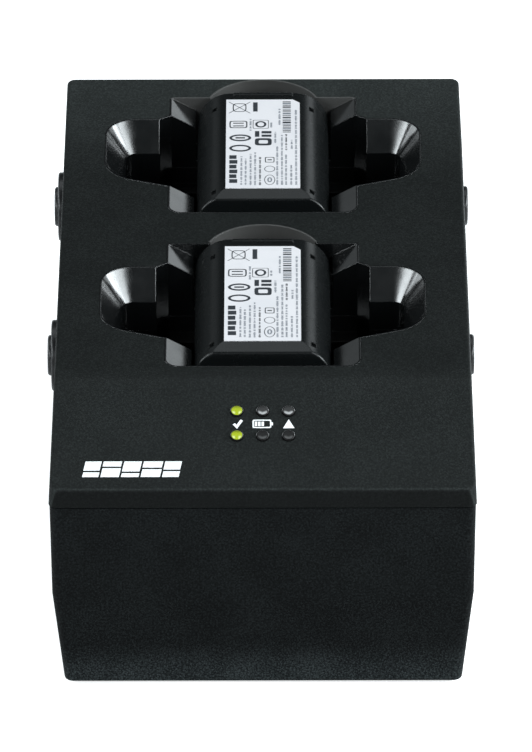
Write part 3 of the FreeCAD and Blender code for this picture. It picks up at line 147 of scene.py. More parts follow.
class Graph:
    """A material under construction."""

    def __init__(self, name: str) -> None:
        """Start an empty material with the given name."""
        self.material = bpy.data.materials.new(name)
        self.material.use_nodes = True
        self.tree = self.material.node_tree
        self.tree.nodes.clear()
        self._place: bpy.types.NodeSocket | None = None

    def node(
        self,
        kind: str,
        settings: Mapping[str, object] | None = None,
        inputs: Mapping[Union[int, str], Value] | None = None,
        output: Union[int, str] = 0,
    ) -> Signal:
        """Add any node.

        Args:
            kind: The node's type name.
            settings: Properties that are set before anything is linked; stops are a ramp's stops.
            inputs: Values or signals by socket name or number.
            output: The socket whose signal is returned.

        Returns:
            The signal that leaves the node.
        """
        made = self.tree.nodes.new(kind)
        for key, value in (settings or {}).items():
            if key == "stops":
                self._set_stops(made, value)
            else:
                setattr(made, key, value)
        for key, value in (inputs or {}).items():
            if isinstance(value, Signal):
                self.tree.links.new(value.socket, made.inputs[key])
            else:
                made.inputs[key].default_value = value
        return Signal(self, made.outputs[output])

    @staticmethod
    def _set_stops(made: bpy.types.Node, stops: Sequence[tuple[float, Colour]]) -> None:
        """Give a colour ramp its stops."""
        elements = made.color_ramp.elements
        while len(elements) < len(stops):
            elements.new(1.0)
        for element, (place, colour) in zip(elements, stops):
            element.position = place
            element.color = (*colour, 1.0)

    def place(self) -> Signal:
        """Position in the object's own frame, in metres."""
        if self._place is None:
            self._place = self.node("ShaderNodeTexCoord", output="Object").socket
        return Signal(self, self._place)

    def placed(self, centre: Sequence[float], scale: Sequence[float] = (1.0, 1.0, 1.0)) -> Signal:
        """Position measured from a centre in metres, and stretched along each axis."""
        shift = [-c * s for c, s in zip(centre, scale)]
        return self.node("ShaderNodeMapping", {}, {0: self.place(), 1: shift, 3: list(scale)})

    def axes(self, vector: Signal | None = None) -> tuple[Signal, Signal, Signal]:
        """The three parts of a position."""
        first = self.node("ShaderNodeSeparateXYZ", {}, {0: vector or self.place()})
        made = first.socket.node
        return first, Signal(self, made.outputs[1]), Signal(self, made.outputs[2])

    def noise(
        self, size: float, detail: float = 3.0, rough: float = 0.55, vector: Signal | None = None
    ) -> Signal:
        """Cloudy pattern between nought and one, of clouds that size, in metres."""
        inputs = {"Scale": 1.0 / size, "Detail": detail, "Roughness": rough}
        inputs["Vector"] = vector or self.place()
        return self.node("ShaderNodeTexNoise", {}, inputs)

    def cells(self, size: float) -> Signal:
        """Distance to the nearest of many scattered points, in cell widths."""
        return self.node("ShaderNodeTexVoronoi", {}, {"Vector": self.place(), "Scale": 1.0 / size})

    def blend(self, share: Value, first: Value, second: Value) -> Signal:
        """Mix two colours by a share between nought and one."""
        def colour(value: Value) -> Value:
            """Give a plain colour its alpha."""
            return value if isinstance(value, Signal) else (*value, 1.0)

        inputs = {0: share, 6: colour(first), 7: colour(second)}
        return self.node("ShaderNodeMix", {"data_type": "RGBA"}, inputs, 2)

    def scaled(self, colour: Signal, factor: Value) -> Signal:
        """A colour with all its parts multiplied by one number."""
        return self.node("ShaderNodeVectorMath", {"operation": "SCALE"}, {0: colour, 3: factor})

    def relief(self, height: Signal, depth: float, edge: float = 0.0) -> Signal:
        """Surface normal of a pattern whose one stands for the depth; edge rounds sharp edges."""
        inputs = {"Height": height, "Distance": depth, "Strength": 1.0}
        if edge:
            inputs["Normal"] = self.node("ShaderNodeBevel", {"samples": 4}, {"Radius": edge})
        return self.node("ShaderNodeBump", {}, inputs)

    def finish(self, **sockets: Value) -> bpy.types.Material:
        """End the material in a Principled shader, by socket name with _ for a space."""
        inputs = {key.replace("_", " "): value for key, value in sockets.items()}
        shader = self.node("ShaderNodeBsdfPrincipled", {}, inputs)
        target = self.tree.nodes.new("ShaderNodeOutputMaterial")
        self.tree.links.new(shader.socket, target.inputs["Surface"])
        return self.material


# ---- finishes ----------------------------------

@dataclass(frozen=True)
class PaintedLightBand:
    """Stretch along one axis that multiplies a colour to paint light or shade, limited by a gate
    along another axis.
    """

    axis: int
    start: float
    full: float
    factor: float
    gate: tuple[int, float, float] | None = None

    def tone(self, graph: Graph) -> Signal:
        """One before the start, the factor past the full place, smooth between them."""
        share = graph.axes()[self.axis].ramp(self.start, self.full)
        if self.gate:
            axis, start, full = self.gate
            share = share * graph.axes()[axis].ramp(start, full)
        return 1.0 + share * (self.factor - 1.0)


@dataclass(frozen=True)
class Moulded:
    """Moulded plastic: spark-eroded grain with pale lumps, slight drift and smoother patches."""

    name: str
    colour: Colour
    speck: Colour
    grain: float = 0.45 * MM
    depth: float = 0.03 * MM
    rough: tuple[float, float] = (0.42, 0.6)
    specular: float = 0.3
    drift: float = 12 * MM
    edge: float = 0.0
    painted_light_bands: tuple[PaintedLightBand, ...] = ()

    def make(self) -> bpy.types.Material:
        """Build the material."""
        g = Graph(self.name)
        grain = g.noise(self.grain, 2.0, 0.6)
        lumps = g.cells(self.grain * 1.2).ramp(0.65, 0.15)
        drift = g.noise(self.drift, 3.0, 0.5)
        share = (grain * 0.84 + lumps * 0.16 + (drift - 0.5) * 0.25).ramp(0.3, 0.75)
        low, high = self.rough
        rough = low + (high - low) * (grain * 0.5 + drift * 0.5)
        colour = g.blend(share, self.colour, self.speck)
        # painted light and shade: each band scales the colour along its stretch
        for band in self.painted_light_bands:
            colour = g.scaled(colour, band.tone(g))
        return g.finish(
            Base_Color=colour,
            Roughness=rough,
            Normal=g.relief(grain * 0.7 + lumps * 0.3, self.depth, self.edge),
            Specular_IOR_Level=self.specular,
        )


@dataclass(frozen=True)
class Gloss:
    """Polished black moulding with faint flow waves, dust and fine handling scratches."""

    name: str
    colour: Colour
    dust: Colour = (0.05, 0.05, 0.052)
    rough: tuple[float, float] = (0.1, 0.24)
    wave: float = 9 * MM
    depth: float = 0.05 * MM
    specular: float = 0.5
    edge: float = 0.3 * MM
    matt_from: float = 1.0
    matt: Colour = (0.035, 0.034, 0.032)

    def make(self) -> bpy.types.Material:
        """Build the material."""
        g = Graph(self.name)
        wave = g.noise(self.wave, 2.0, 0.4)
        across = g.noise(0.25 * MM, 2.0, 0.5, g.placed((0, 0, 0), (1.0, 0.06, 0.5)))
        scratch = across.ramp(0.66, 0.74) * g.noise(7 * MM).ramp(0.5, 0.7)
        dust = g.cells(1.3 * MM).ramp(0.1, 0.04) * g.noise(11 * MM).ramp(0.45, 0.65)
        matt = g.axes()[1].ramp(self.matt_from, self.matt_from + 0.2 * MM)
        grain = g.noise(0.4 * MM, 2.0)
        low, high = self.rough
        plain = g.blend(dust * 0.5 + scratch * 0.25, self.colour, self.dust)
        bumps = wave + scratch * 0.04 + grain * (0.02 + 0.3 * matt)
        return g.finish(
            Base_Color=g.blend(matt * (0.7 + 0.3 * grain), plain, self.matt),
            Roughness=low + (high - low) * g.noise(5 * MM, 4.0, 0.6) + scratch * 0.15 + matt * 0.4,
            Normal=g.relief(bumps, self.depth, self.edge),
            Specular_IOR_Level=self.specular,
        )


@dataclass(frozen=True)
class Metal:
    """Plated or bare metal with drawn lines and a mottled tarnish."""

    name: str
    colour: Colour
    tarnish: Colour
    line: float = 0.12 * MM
    along: tuple[float, float, float] = (1.0, 1.0, 0.08)
    rough: tuple[float, float] = (0.18, 0.38)

    def make(self) -> bpy.types.Material:
        """Build the material."""
        g = Graph(self.name)
        lines = g.noise(self.line, 2.0, 0.5, g.placed((0, 0, 0), self.along))
        mottle = g.noise(1.2 * MM, 4.0, 0.6)
        low, high = self.rough
        return g.finish(
            Base_Color=g.blend(mottle.ramp(0.45, 0.75) * 0.6, self.colour, self.tarnish),
            Metallic=1.0 - mottle.ramp(0.72, 0.8) * 0.3,
            Roughness=low + (high - low) * (lines * 0.6 + mottle * 0.4),
            Normal=g.relief(lines, 0.004 * MM),
        )


@dataclass(frozen=True)
class Film:
    """Printed label stock: coated face with a faint fibre and a cloudy tone."""

    name: str
    colour: Colour
    shade: Colour
    rough: tuple[float, float] = (0.28, 0.4)

    def make(self) -> bpy.types.Material:
        """Build the material."""
        g = Graph(self.name)
        fibre = g.noise(0.5 * MM, 4.0, 0.6, g.placed((0, 0, 0), (1.0, 0.4, 1.0)))
        cloud = g.noise(8 * MM, 3.0, 0.5)
        share = cloud.ramp(0.35, 0.75) * 0.6 + fibre.ramp(0.6, 0.8) * 0.4
        low, high = self.rough
        return g.finish(
            Base_Color=g.blend(share, self.colour, self.shade),
            Roughness=low + (high - low) * fibre,
            Normal=g.relief(fibre * 0.5 + cloud * 0.5, 0.01 * MM),
        )


@dataclass(frozen=True)
class Ink:
    """Screen-printed ink with thin spots along its screen."""

    name: str
    colour: Colour
    thin: Colour

    def make(self) -> bpy.types.Material:
        """Build the material."""
        g = Graph(self.name)
        screen = g.noise(0.12 * MM, 2.0, 0.5)
        colour = g.blend(screen.ramp(0.55, 0.85), self.colour, self.thin)
        return g.finish(
            Base_Color=colour,
            Roughness=0.35 + screen * 0.2,
            Normal=g.relief(screen, 0.006 * MM),
        )


@dataclass(frozen=True)
class Lens:
    """Small domed light pipe with painted light: a core with painted shade towards its top, painted
    shade for the dark well round the dome, a low sickle-shaped painted highlight and a painted
    highlight on the upper arc of the hole's edge.
    """

    name: str
    centre: tuple[float, float, float]
    along: tuple[float, float, float]
    core: Colour
    # colour of the painted highlight low on the dome
    crescent_highlight: Colour
    # colour of the painted highlight on the hole's edge
    rim_highlight: Colour
    lit: float
    # one splits the painted highlight low on the dome into two glints
    split: float = 0.0
    # painted shade: colour of the shadowed well round the dome and of the core's top
    well: Colour = (0.004, 0.004, 0.004)
    radius: float = 1.5 * MM

    def make(self) -> bpy.types.Material:
        """Build the material; away runs from nought on the axis to one at the hole's edge."""
        g = Graph(self.name)
        x, y, z = g.axes(g.placed(self.centre))
        across = x * (1.0 / self.radius)
        up = (y * self.along[1] + z * self.along[2]) * (1.0 / self.radius)
        away = (across * across + up * up) ** 0.5
        facet = g.noise(0.35 * MM, 2.0, 0.5)
        # painted shade: past the dome the lens takes the dark well colour
        dome = 1.0 - away.ramp(0.76, 0.84)
        sides = across.size().ramp(0.12, 0.42) * self.split + (1.0 - self.split)
        inner = away.ramp(0.15, 0.5) * (1.0 - away.ramp(0.66, 0.78))
        # painted highlight low on the dome, in two glints where split is one
        moon_highlight = inner * (0.0 - up).ramp(0.0, 0.42) * sides
        # painted highlight on the upper arc of the hole's edge
        arc_highlight = away.ramp(0.86, 0.92) * up.ramp(-0.2, 0.3)
        # painted shade towards the top of the core
        shaded = g.blend(up.ramp(0.1, 0.8) * 0.6, self.core, self.well)
        core = g.blend(moon_highlight * (0.6 + facet * 0.4), shaded, self.crescent_highlight)
        colour = g.blend(arc_highlight * 0.9, g.blend(dome, self.well, core), self.rim_highlight)
        return g.finish(
            Base_Color=colour,
            # a lit lens glows with this colour, its painted highlights and shade included
            Emission_Color=colour,
            Emission_Strength=self.lit,
            Roughness=0.14 + facet * 0.16,
            Normal=g.relief(facet, 0.02 * MM),
            Specular_IOR_Level=0.12,
        )


@dataclass(frozen=True)
class Laminate:
    """Circuit board: solder mask over copper tracks, and bare pads."""

    name: str
    mask: Colour = (0.012, 0.075, 0.035)
    track: Colour = (0.03, 0.15, 0.06)
    pad: Colour = (0.62, 0.48, 0.2)
    pitch: float = 1.6 * MM

    def make(self) -> bpy.types.Material:
        """Build the material: tracks are bands of a bent ruler grid, and pads dot its crossings."""
        g = Graph(self.name)
        bend = g.cells(9 * MM).ramp(0.3, 0.5) * self.pitch * 3.0
        x, y, _ = g.axes()
        band = ((x + bend).remainder(self.pitch) * (1.0 / self.pitch) - 0.5).size()
        tracks = 1.0 - band.ramp(0.12, 0.17)
        live = g.noise(6 * MM, 1.0).ramp(0.48, 0.52)
        step = self.pitch * 2.0
        px = x.remainder(step) * (1.0 / step) - 0.5
        py = y.remainder(step) * (1.0 / step) - 0.5
        spot = (px * px + py * py) ** 0.5
        pads = (1.0 - spot.ramp(0.1, 0.14)) * g.noise(5 * MM, 0.0).ramp(0.56, 0.58)
        colour = g.blend(pads, g.blend(tracks * live, self.mask, self.track), self.pad)
        return g.finish(
            Base_Color=colour,
            Metallic=pads * 0.9,
            Roughness=0.32 + g.noise(0.8 * MM) * 0.15,
            Normal=g.relief(tracks * live * 0.6 + pads * 0.4, 0.03 * MM),
        )


@dataclass(frozen=True)
class Ribbon:
    """Flat flexible lead with its conductors showing as stripes along it."""

    name: str
    colour: Colour
    stripe: Colour
    pitch: float = 1.0 * MM

    def make(self) -> bpy.types.Material:
        """Build the material: a stripe wherever the place across is in the middle of a step."""
        g = Graph(self.name)
        x, _, _ = g.axes()
        band = (x.remainder(self.pitch) * (1.0 / self.pitch) - 0.5).size()
        stripes = 1.0 - band.ramp(0.22, 0.3)
        grime = g.noise(2 * MM, 3.0)
        return g.finish(
            Base_Color=g.blend(stripes * 0.9 + grime * 0.1, self.colour, self.stripe),
            Roughness=0.32 + grime * 0.2,
            Normal=g.relief(stripes, 0.03 * MM),
        )


@dataclass(frozen=True)
class Wrap:
    """Heat-shrunk sleeve of a cell: coloured film with shrink wrinkles and a darker band."""

    name: str
    colour: Colour
    band: Colour
    band_y: tuple[float, float]

    def make(self) -> bpy.types.Material:
        """Build the material."""
        g = Graph(self.name)
        _, y, _ = g.axes()
        low, high = self.band_y
        inside = y.ramp(low, low + 0.2 * MM) - y.ramp(high, high + 0.2 * MM)
        wrinkle = g.noise(1.1 * MM, 3.0, 0.5, g.placed((0, 0, 0), (1.0, 0.2, 1.0)))
        return g.finish(
            Base_Color=g.blend(inside.least(1.0), self.colour, self.band),
            Roughness=0.22 + wrinkle * 0.2,
            Normal=g.relief(wrinkle, 0.06 * MM),
        )


@dataclass(frozen=True)
class Backdrop:
    """Matt white studio paper."""

    name: str = "studio_paper"
    colour: Colour = (0.91, 0.91, 0.91)
    cloud: Colour = (0.88, 0.88, 0.88)
    lift: float = 0.6

    def make(self) -> bpy.types.Material:
        """Build the material."""
        g = Graph(self.name)
        return g.finish(
            Base_Color=g.blend(g.noise(0.4, 2.0), self.colour, self.cloud),
            Emission_Color=(1.0, 1.0, 1.0, 1.0),
            Emission_Strength=g.node("ShaderNodeLightPath") * self.lift,
            Roughness=0.9,
            Specular_IOR_Level=0.0,
        )


Finish = Union[Moulded, Gloss, Metal, Film, Ink, Lens, Laminate, Ribbon, Wrap, Backdrop]


class Stock(Enum):
    """The finishes that more than one piece shares."""

    COVER = Moulded("cover_black", (0.0086, 0.0098, 0.0096), (0.0182, 0.0208, 0.0203),
                    grain=0.42 * MM, depth=0.04 * MM, specular=0.06, edge=0.25 * MM)
    BASE = Moulded("base_black", (0.0012, 0.0015, 0.0016), (0.0094, 0.0113, 0.0116),
                   grain=0.42 * MM, depth=0.1 * MM, rough=(0.42, 0.62), specular=0.05)
    WELL = Gloss("well_gloss_black", (0.003, 0.003, 0.0032), rough=(0.18, 0.32))
    PACK_TOP = Gloss("pack_satin_black", (0.0035, 0.0042, 0.0044), rough=(0.22, 0.32),
                     depth=0.01 * MM, specular=0.26)
    PACK_LOW = Moulded("pack_low_black", (0.006, 0.006, 0.0065), (0.014, 0.014, 0.015),
                       grain=0.3 * MM, depth=0.012 * MM, rough=(0.3, 0.42))
    LABEL = Film("label_white", (0.68, 0.665, 0.685), (0.61, 0.605, 0.63))
    INK_WHITE = Ink("panel_ink_white", (0.82, 0.83, 0.84), (0.6, 0.61, 0.62))
    INK_DARK = Ink("label_ink_dark", (0.02, 0.024, 0.03), (0.06, 0.065, 0.075))
    INK_GREY = Ink("label_ink_grey", (0.16, 0.175, 0.2), (0.3, 0.32, 0.36))
    RUBBER = Moulded("foot_rubber_black", (0.012, 0.012, 0.012), (0.03, 0.03, 0.03),
                     grain=0.7 * MM, rough=(0.75, 0.95), specular=0.2)
    SCREW = Metal("screw_zinc", (0.58, 0.58, 0.57), (0.36, 0.35, 0.33))
    SPRING = Metal("spring_steel", (0.55, 0.55, 0.56), (0.3, 0.29, 0.28), line=0.05 * MM)
    GOLD = Metal("contact_gold", (0.83, 0.62, 0.27), (0.5, 0.35, 0.15), line=0.06 * MM)
    TIN = Metal("solder_tin", (0.7, 0.7, 0.69), (0.42, 0.42, 0.4), line=0.08 * MM)
    BOARD = Laminate("board_green")
    PACK_BOARD = Laminate("pack_board_green", mask=(0.008, 0.05, 0.06), track=(0.02, 0.11, 0.13))
    CHIP = Moulded("chip_epoxy_black", (0.012, 0.012, 0.013), (0.03, 0.03, 0.031),
                   grain=0.12 * MM, depth=0.006 * MM, rough=(0.5, 0.65))
    FERRITE = Moulded("ferrite_grey", (0.03, 0.031, 0.033), (0.07, 0.07, 0.075),
                      grain=0.2 * MM, depth=0.015 * MM, rough=(0.55, 0.75))
    CAN = Metal("capacitor_can", (0.68, 0.69, 0.71), (0.45, 0.46, 0.5), along=(1.0, 1.0, 0.3))
    HEADER = Moulded("header_ivory", (0.62, 0.56, 0.44), (0.7, 0.66, 0.55),
                     grain=0.25 * MM, depth=0.006 * MM, rough=(0.35, 0.5), specular=0.45)
    INSULATOR = Moulded("insulator_black", (0.01, 0.01, 0.011), (0.02, 0.02, 0.022),
                        grain=0.25 * MM, depth=0.01 * MM, rough=(0.32, 0.45), specular=0.45)
    INLET = Moulded("inlet_black", (0.008, 0.008, 0.009), (0.02, 0.02, 0.02),
                    grain=0.3 * MM, depth=0.008 * MM, rough=(0.3, 0.42), specular=0.45)
    PORT = Moulded("port_black", (0.006, 0.0062, 0.0065), (0.014, 0.014, 0.015),
                   grain=0.3 * MM, depth=0.01 * MM, rough=(0.28, 0.4), specular=0.5)
    FLEX = Ribbon("lead_flex_white", (0.72, 0.73, 0.74), (0.42, 0.36, 0.26))
    JACKET = Moulded("lead_jacket_black", (0.012, 0.012, 0.012), (0.028, 0.028, 0.028),
                     grain=0.5 * MM, depth=0.02 * MM, rough=(0.4, 0.6))
    CERAMIC = Moulded("lamp_ceramic_white", (0.78, 0.77, 0.72), (0.86, 0.85, 0.8),
                      grain=0.15 * MM, depth=0.004 * MM, rough=(0.3, 0.45), specular=0.5)
    CHIP_BODY = Moulded("part_body_tan", (0.24, 0.17, 0.11), (0.34, 0.25, 0.17),
                        grain=0.1 * MM, depth=0.004 * MM, rough=(0.4, 0.55))
    PAPER = Backdrop()


class Dresser:
    """Makes each finish once and puts it on CAD nodes and new pieces."""

    def __init__(self, frame: Mapping[str, object]) -> None:
        """Keep the frame's nodes."""
        self.nodes = frame["nodes"]
        self.made: dict[str, bpy.types.Material] = {}

    def material(self, finish: Union[Stock, Finish]) -> bpy.types.Material:
        """The material of a finish, built at its first use."""
        plain = finish.value if isinstance(finish, Stock) else finish
        if plain.name not in self.made:
            self.made[plain.name] = plain.make()
        return self.made[plain.name]

    def dress(self, finish: Union[Stock, Finish], *names: str) -> None:
        """Put a finish on the named CAD nodes."""
        material = self.material(finish)
        for name in names:
            node = self.nodes[name]
            if not node.material_slots:
                node.data.materials.append(material)
            for slot in node.material_slots:
                slot.material = material
            log.info("%s: %s", name, material.name)


# ---- surfaces ----------------------------------

@dataclass
class Sheet:
    """A flat place that marks are printed on."""

    origin: Vector
    across: Vector
    along: Vector

    def carry(self, flat: Points, height: float) -> Points:
        """Carry flat points onto the sheet.

        Origin, plus the first number along the sheet's across direction, plus the second along
        its along direction, plus the height along their cross product.

        Args:
            flat: Points in metres, two numbers each.
            height: Height above the sheet, in metres.

        Returns:
            Points of three numbers each.
        """
        up = self.across.cross(self.along)
        basis = np.array([self.across, self.along])
        return np.array(self.origin) + flat @ basis + height * np.array(up)


@dataclass
class Slabs:
    """Thin closed slabs gathered into one mesh, each with a material number."""

    sheet: Sheet
    low: float
    high: float
    points: list[Points] = field(default_factory=list)
    faces: list[tuple[int, ...]] = field(default_factory=list)
    inks: list[int] = field(default_factory=list)
    count: int = 0

    def strip(self, left: Points, right: Points, closed: bool = False, ink: int = 0) -> None:
        """Add the slab between two edge curves.

        The face is ruled: its point at (i, t) is left[i] times (1 - t) plus right[i] times t, for
        t of nought and one. It is made twice, low and high, and walls close its border.

        Args:
            left: One edge, in metres on the sheet.
            right: The other edge, with as many points.
            closed: True where the last pair of points joins the first.
            ink: Number of the material.
        """
        n = len(left)
        levels = (self.low, self.high)
        self.points += [self.sheet.carry(edge, z) for z in levels for edge in (left, right)]
        step = np.arange(n if closed else n - 1)
        nxt = (step + 1) % n
        base = self.count
        a, b, c, d = (base + k * n for k in range(4))
        top = np.stack([c + step, d + step, d + nxt, c + nxt], 1)
        bottom = np.stack([a + step, a + nxt, b + nxt, b + step], 1)
        left_wall = np.stack([a + step, c + step, c + nxt, a + nxt], 1)
        right_wall = np.stack([b + step, b + nxt, d + nxt, d + step], 1)
        rows = [top, bottom, left_wall, right_wall]
        if not closed:
            last = n - 1
            rows.append(np.array([[a, b, d, c], [a + last, c + last, d + last, b + last]]))
        made = np.concatenate(rows)
        if self._turn(left, right) < 0:
            made = made[:, ::-1]
        self.faces += [tuple(row) for row in made.tolist()]
        self.inks += [ink] * len(made)
        self.count += 4 * n

    @staticmethod
    def _turn(left: Points, right: Points) -> float:
        """Signed area of the first quad, left to right to onward; below nought it faces down."""
        one = right[0] - left[0]
        two = (left[1] + right[1]) / 2 - left[0]
        return float(one[0] * two[1] - one[1] * two[0])

    def bar(
        self, x0: float, x1: float, y0: float, y1: float, lean: float = 0.0, ink: int = 0
    ) -> None:
        """Add a bar between two corners, in millimetres, its high end moved right by the lean."""
        left = np.array([[x0, y0], [x0 + lean, y1]]) * MM
        right = np.array([[x1, y0], [x1 + lean, y1]]) * MM
        self.strip(left, right, ink=ink)

    def ring(
        self, x: float, y: float, rx: float, ry: float, line: float,
        power: float = 2.0, ink: int = 0,
    ) -> None:
        """Add a closed line along a superellipse, in millimetres.

        Each outer point is the centre plus each half-axis times the sign of the cosine or sine
        times its size to the power 2 / power; inner points are the same with shorter half-axes.

        Args:
            x: Its centre across.
            y: Its centre along.
            rx: Half-axis across.
            ry: Half-axis along.
            line: Width of the line.
            power: 2 for an ellipse, higher for a rounded box.
            ink: Number of the material.
        """
        turn = np.linspace(0, 2 * np.pi, RING_POINTS, endpoint=False)
        circle = np.stack([np.cos(turn), np.sin(turn)], 1)
        unit = np.sign(circle) * np.abs(circle) ** (2 / power)
        outer = (np.array([x, y]) + unit * np.array([rx, ry])) * MM
        inner = (np.array([x, y]) + unit * np.array([rx - line, ry - line])) * MM
        self.strip(inner, outer, closed=True, ink=ink)

    def stroke(self, path: Sequence[tuple[float, float]], line: float, ink: int = 0) -> None:
        """Add a line of one width along a path, in millimetres.

        At each point the edge is offset by half the line along the mitre, the sum of the two
        neighbouring side vectors over one plus their dot product.
        """
        points = np.array(path, float)
        runs = np.diff(points, axis=0)
        runs /= np.linalg.norm(runs, axis=1, keepdims=True)
        sides = np.stack([-runs[:, 1], runs[:, 0]], 1)
        before = np.vstack([sides[:1], sides])
        after = np.vstack([sides, sides[-1:]])
        mitre = (before + after) / (1 + (before * after).sum(1, keepdims=True))
        self.strip((points + mitre * line / 2) * MM, (points - mitre * line / 2) * MM, ink=ink)

    def piece(self, name: str, materials: Sequence[bpy.types.Material]) -> bpy.types.Object:
        """Turn the slabs into an object; the materials come in the order of the ink numbers."""
        return mesh_piece(name, np.concatenate(self.points), self.faces, materials, self.inks)


def mesh_piece(
    name: str,
    points: Points,
    faces: Sequence[tuple[int, ...]],
    materials: Sequence[bpy.types.Material],
    numbers: Sequence[int] | None = None,
) -> bpy.types.Object:
    """Make an object at the origin from points and faces.

    Args:
        name: The piece's name.
        points: Its points, in metres.
        faces: Its faces, as point numbers turned outwards.
        materials: Its materials.
        numbers: Each face's material number, where there is more than one.

    Returns:
        The object, linked to the scene.
    """
    mesh = bpy.data.meshes.new(name)
    mesh.from_pydata(points.tolist(), [], list(faces))
    for material in materials:
        mesh.materials.append(material)
    if numbers is not None:
        mesh.polygons.foreach_set("material_index", np.array(numbers, np.int32))
    mesh.validate()
    mesh.update()
    piece = bpy.data.objects.new(name, mesh)
    bpy.context.scene.collection.objects.link(piece)
    log.info("%s: %d faces", name, len(faces))
    return piece


# ---- sub-assemblies ----------------------------

@dataclass
class Case:
    """Cover, base, feet and case screws. Sizes are in millimetres."""

    panel_length: float = 27.5
    panel_setback: float = 0.5
    panel_foot_height: float = 51.55
    # colour factors of painted light: a highlight at the panel's foot, shade on the lip and on the
    # lid top, light at the lid's rear
    painted_fold_highlight: float = 1.5
    painted_lip_shade: float = 0.24
    painted_lid_shade: float = 0.8
    painted_rear_light: float = 2.2
    painted_rear_light_start: float = 30.0
    # colour factor of the painted floor reflection on the base's front
    painted_floor_reflection: float = 3.6

    def cover(self) -> Moulded:
        """The cover's finish, with painted light: a painted highlight at the panel's foot, painted
        shade on the lip below it and on the lid top, and painted light towards the rear of the lid.
        """
        low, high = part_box("top_cover")
        fold = low.y + self.panel_length * MM
        lip = low.y + self.panel_setback * MM
        lid = (2, high.z - 4 * MM, high.z - MM)
        # painted light and shade on one plastic: highlight at the panel's foot, shade on the
        # front-facing lip and the lid top, light at the lid's rear
        painted_light_bands = (
            PaintedLightBand(1, lip + 0.4 * MM, lip + 0.15 * MM, self.painted_fold_highlight),
            PaintedLightBand(1, lip + 0.05 * MM, lip - 0.1 * MM, self.painted_lip_shade),
            PaintedLightBand(1, fold - MM, fold + MM, self.painted_lid_shade),
            PaintedLightBand(1, self.painted_rear_light_start * MM, high.y, self.painted_rear_light, lid),
        )
        return replace(Stock.COVER.value, painted_light_bands=painted_light_bands)

    def dress(self, dresser: Dresser) -> None:
        """Put the finishes on; the base's front gets a painted reflection of the floor, paler where
        it nears the table.
        """
        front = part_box("base_shell")[0].y
        # painted reflection of the floor: the base's front is paler towards the bottom
        foot = PaintedLightBand(2, 12 * MM, 2 * MM, self.painted_floor_reflection, (1, front + 3 * MM, front + MM))
        dresser.dress(self.cover(), "top_cover")
        dresser.dress(replace(Stock.BASE.value, painted_light_bands=(foot,)), "base_shell")
        dresser.dress(Stock.RUBBER, "rubber_feet")
        dresser.dress(Stock.SCREW, "cover_screws")


@dataclass
class Bay:
    """One bay: its mouldings and its two sets of sprung contacts. Sizes are in millimetres."""

    row: str
    scoop_reach: float = 9.6
    shine: float = 0.9
    black: Colour = (0.0028, 0.0032, 0.0034)
    travels: tuple[tuple[str, float], ...] = (("nest", 1.2), ("slot", 1.5))

    def dress(self, dresser: Dresser) -> None:
        """Put the finishes on."""
        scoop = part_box(f"bay_liner_{self.row}")[1].y - self.scoop_reach * MM
        gloss = Gloss(f"bay_gloss_{self.row}", self.black, specular=self.shine, matt_from=scoop)
        dresser.dress(gloss, f"bay_liner_{self.row}")
        dresser.dress(Stock.WELL, f"slot_well_{self.row}")
        dresser.dress(Stock.INSULATOR, f"nest_block_{self.row}", f"slot_block_{self.row}")
        dresser.dress(Stock.GOLD, f"nest_pins_{self.row}", f"slot_pins_{self.row}")
        dresser.dress(Stock.SPRING, f"nest_springs_{self.row}", f"slot_springs_{self.row}")

    def build(self, dresser: Dresser) -> None:
        """Make merged copies of the springs, in place of the rigid ones."""
        for place, travel in self.travels:
            name = f"{place}_springs_{self.row}"
            piece = self._merged(name, dresser)
            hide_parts(name)
            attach(piece, "charger")
            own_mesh(piece)

    @staticmethod
    def _merged(name: str, dresser: Dresser) -> bpy.types.Object:
        """Copy of a CAD node with its loose triangles joined."""
        work = bmesh.new()
        work.from_mesh(dresser.nodes[name].data)
        bmesh.ops.remove_doubles(work, verts=work.verts, dist=MERGE)
        mesh = bpy.data.meshes.new(f"{name}_live")
        work.to_mesh(mesh)
        work.free()
        mesh.materials.clear()
        mesh.materials.append(dresser.material(Stock.SPRING))
        piece = bpy.data.objects.new(f"{name}_live", mesh)
        bpy.context.scene.collection.objects.link(piece)
        return piece


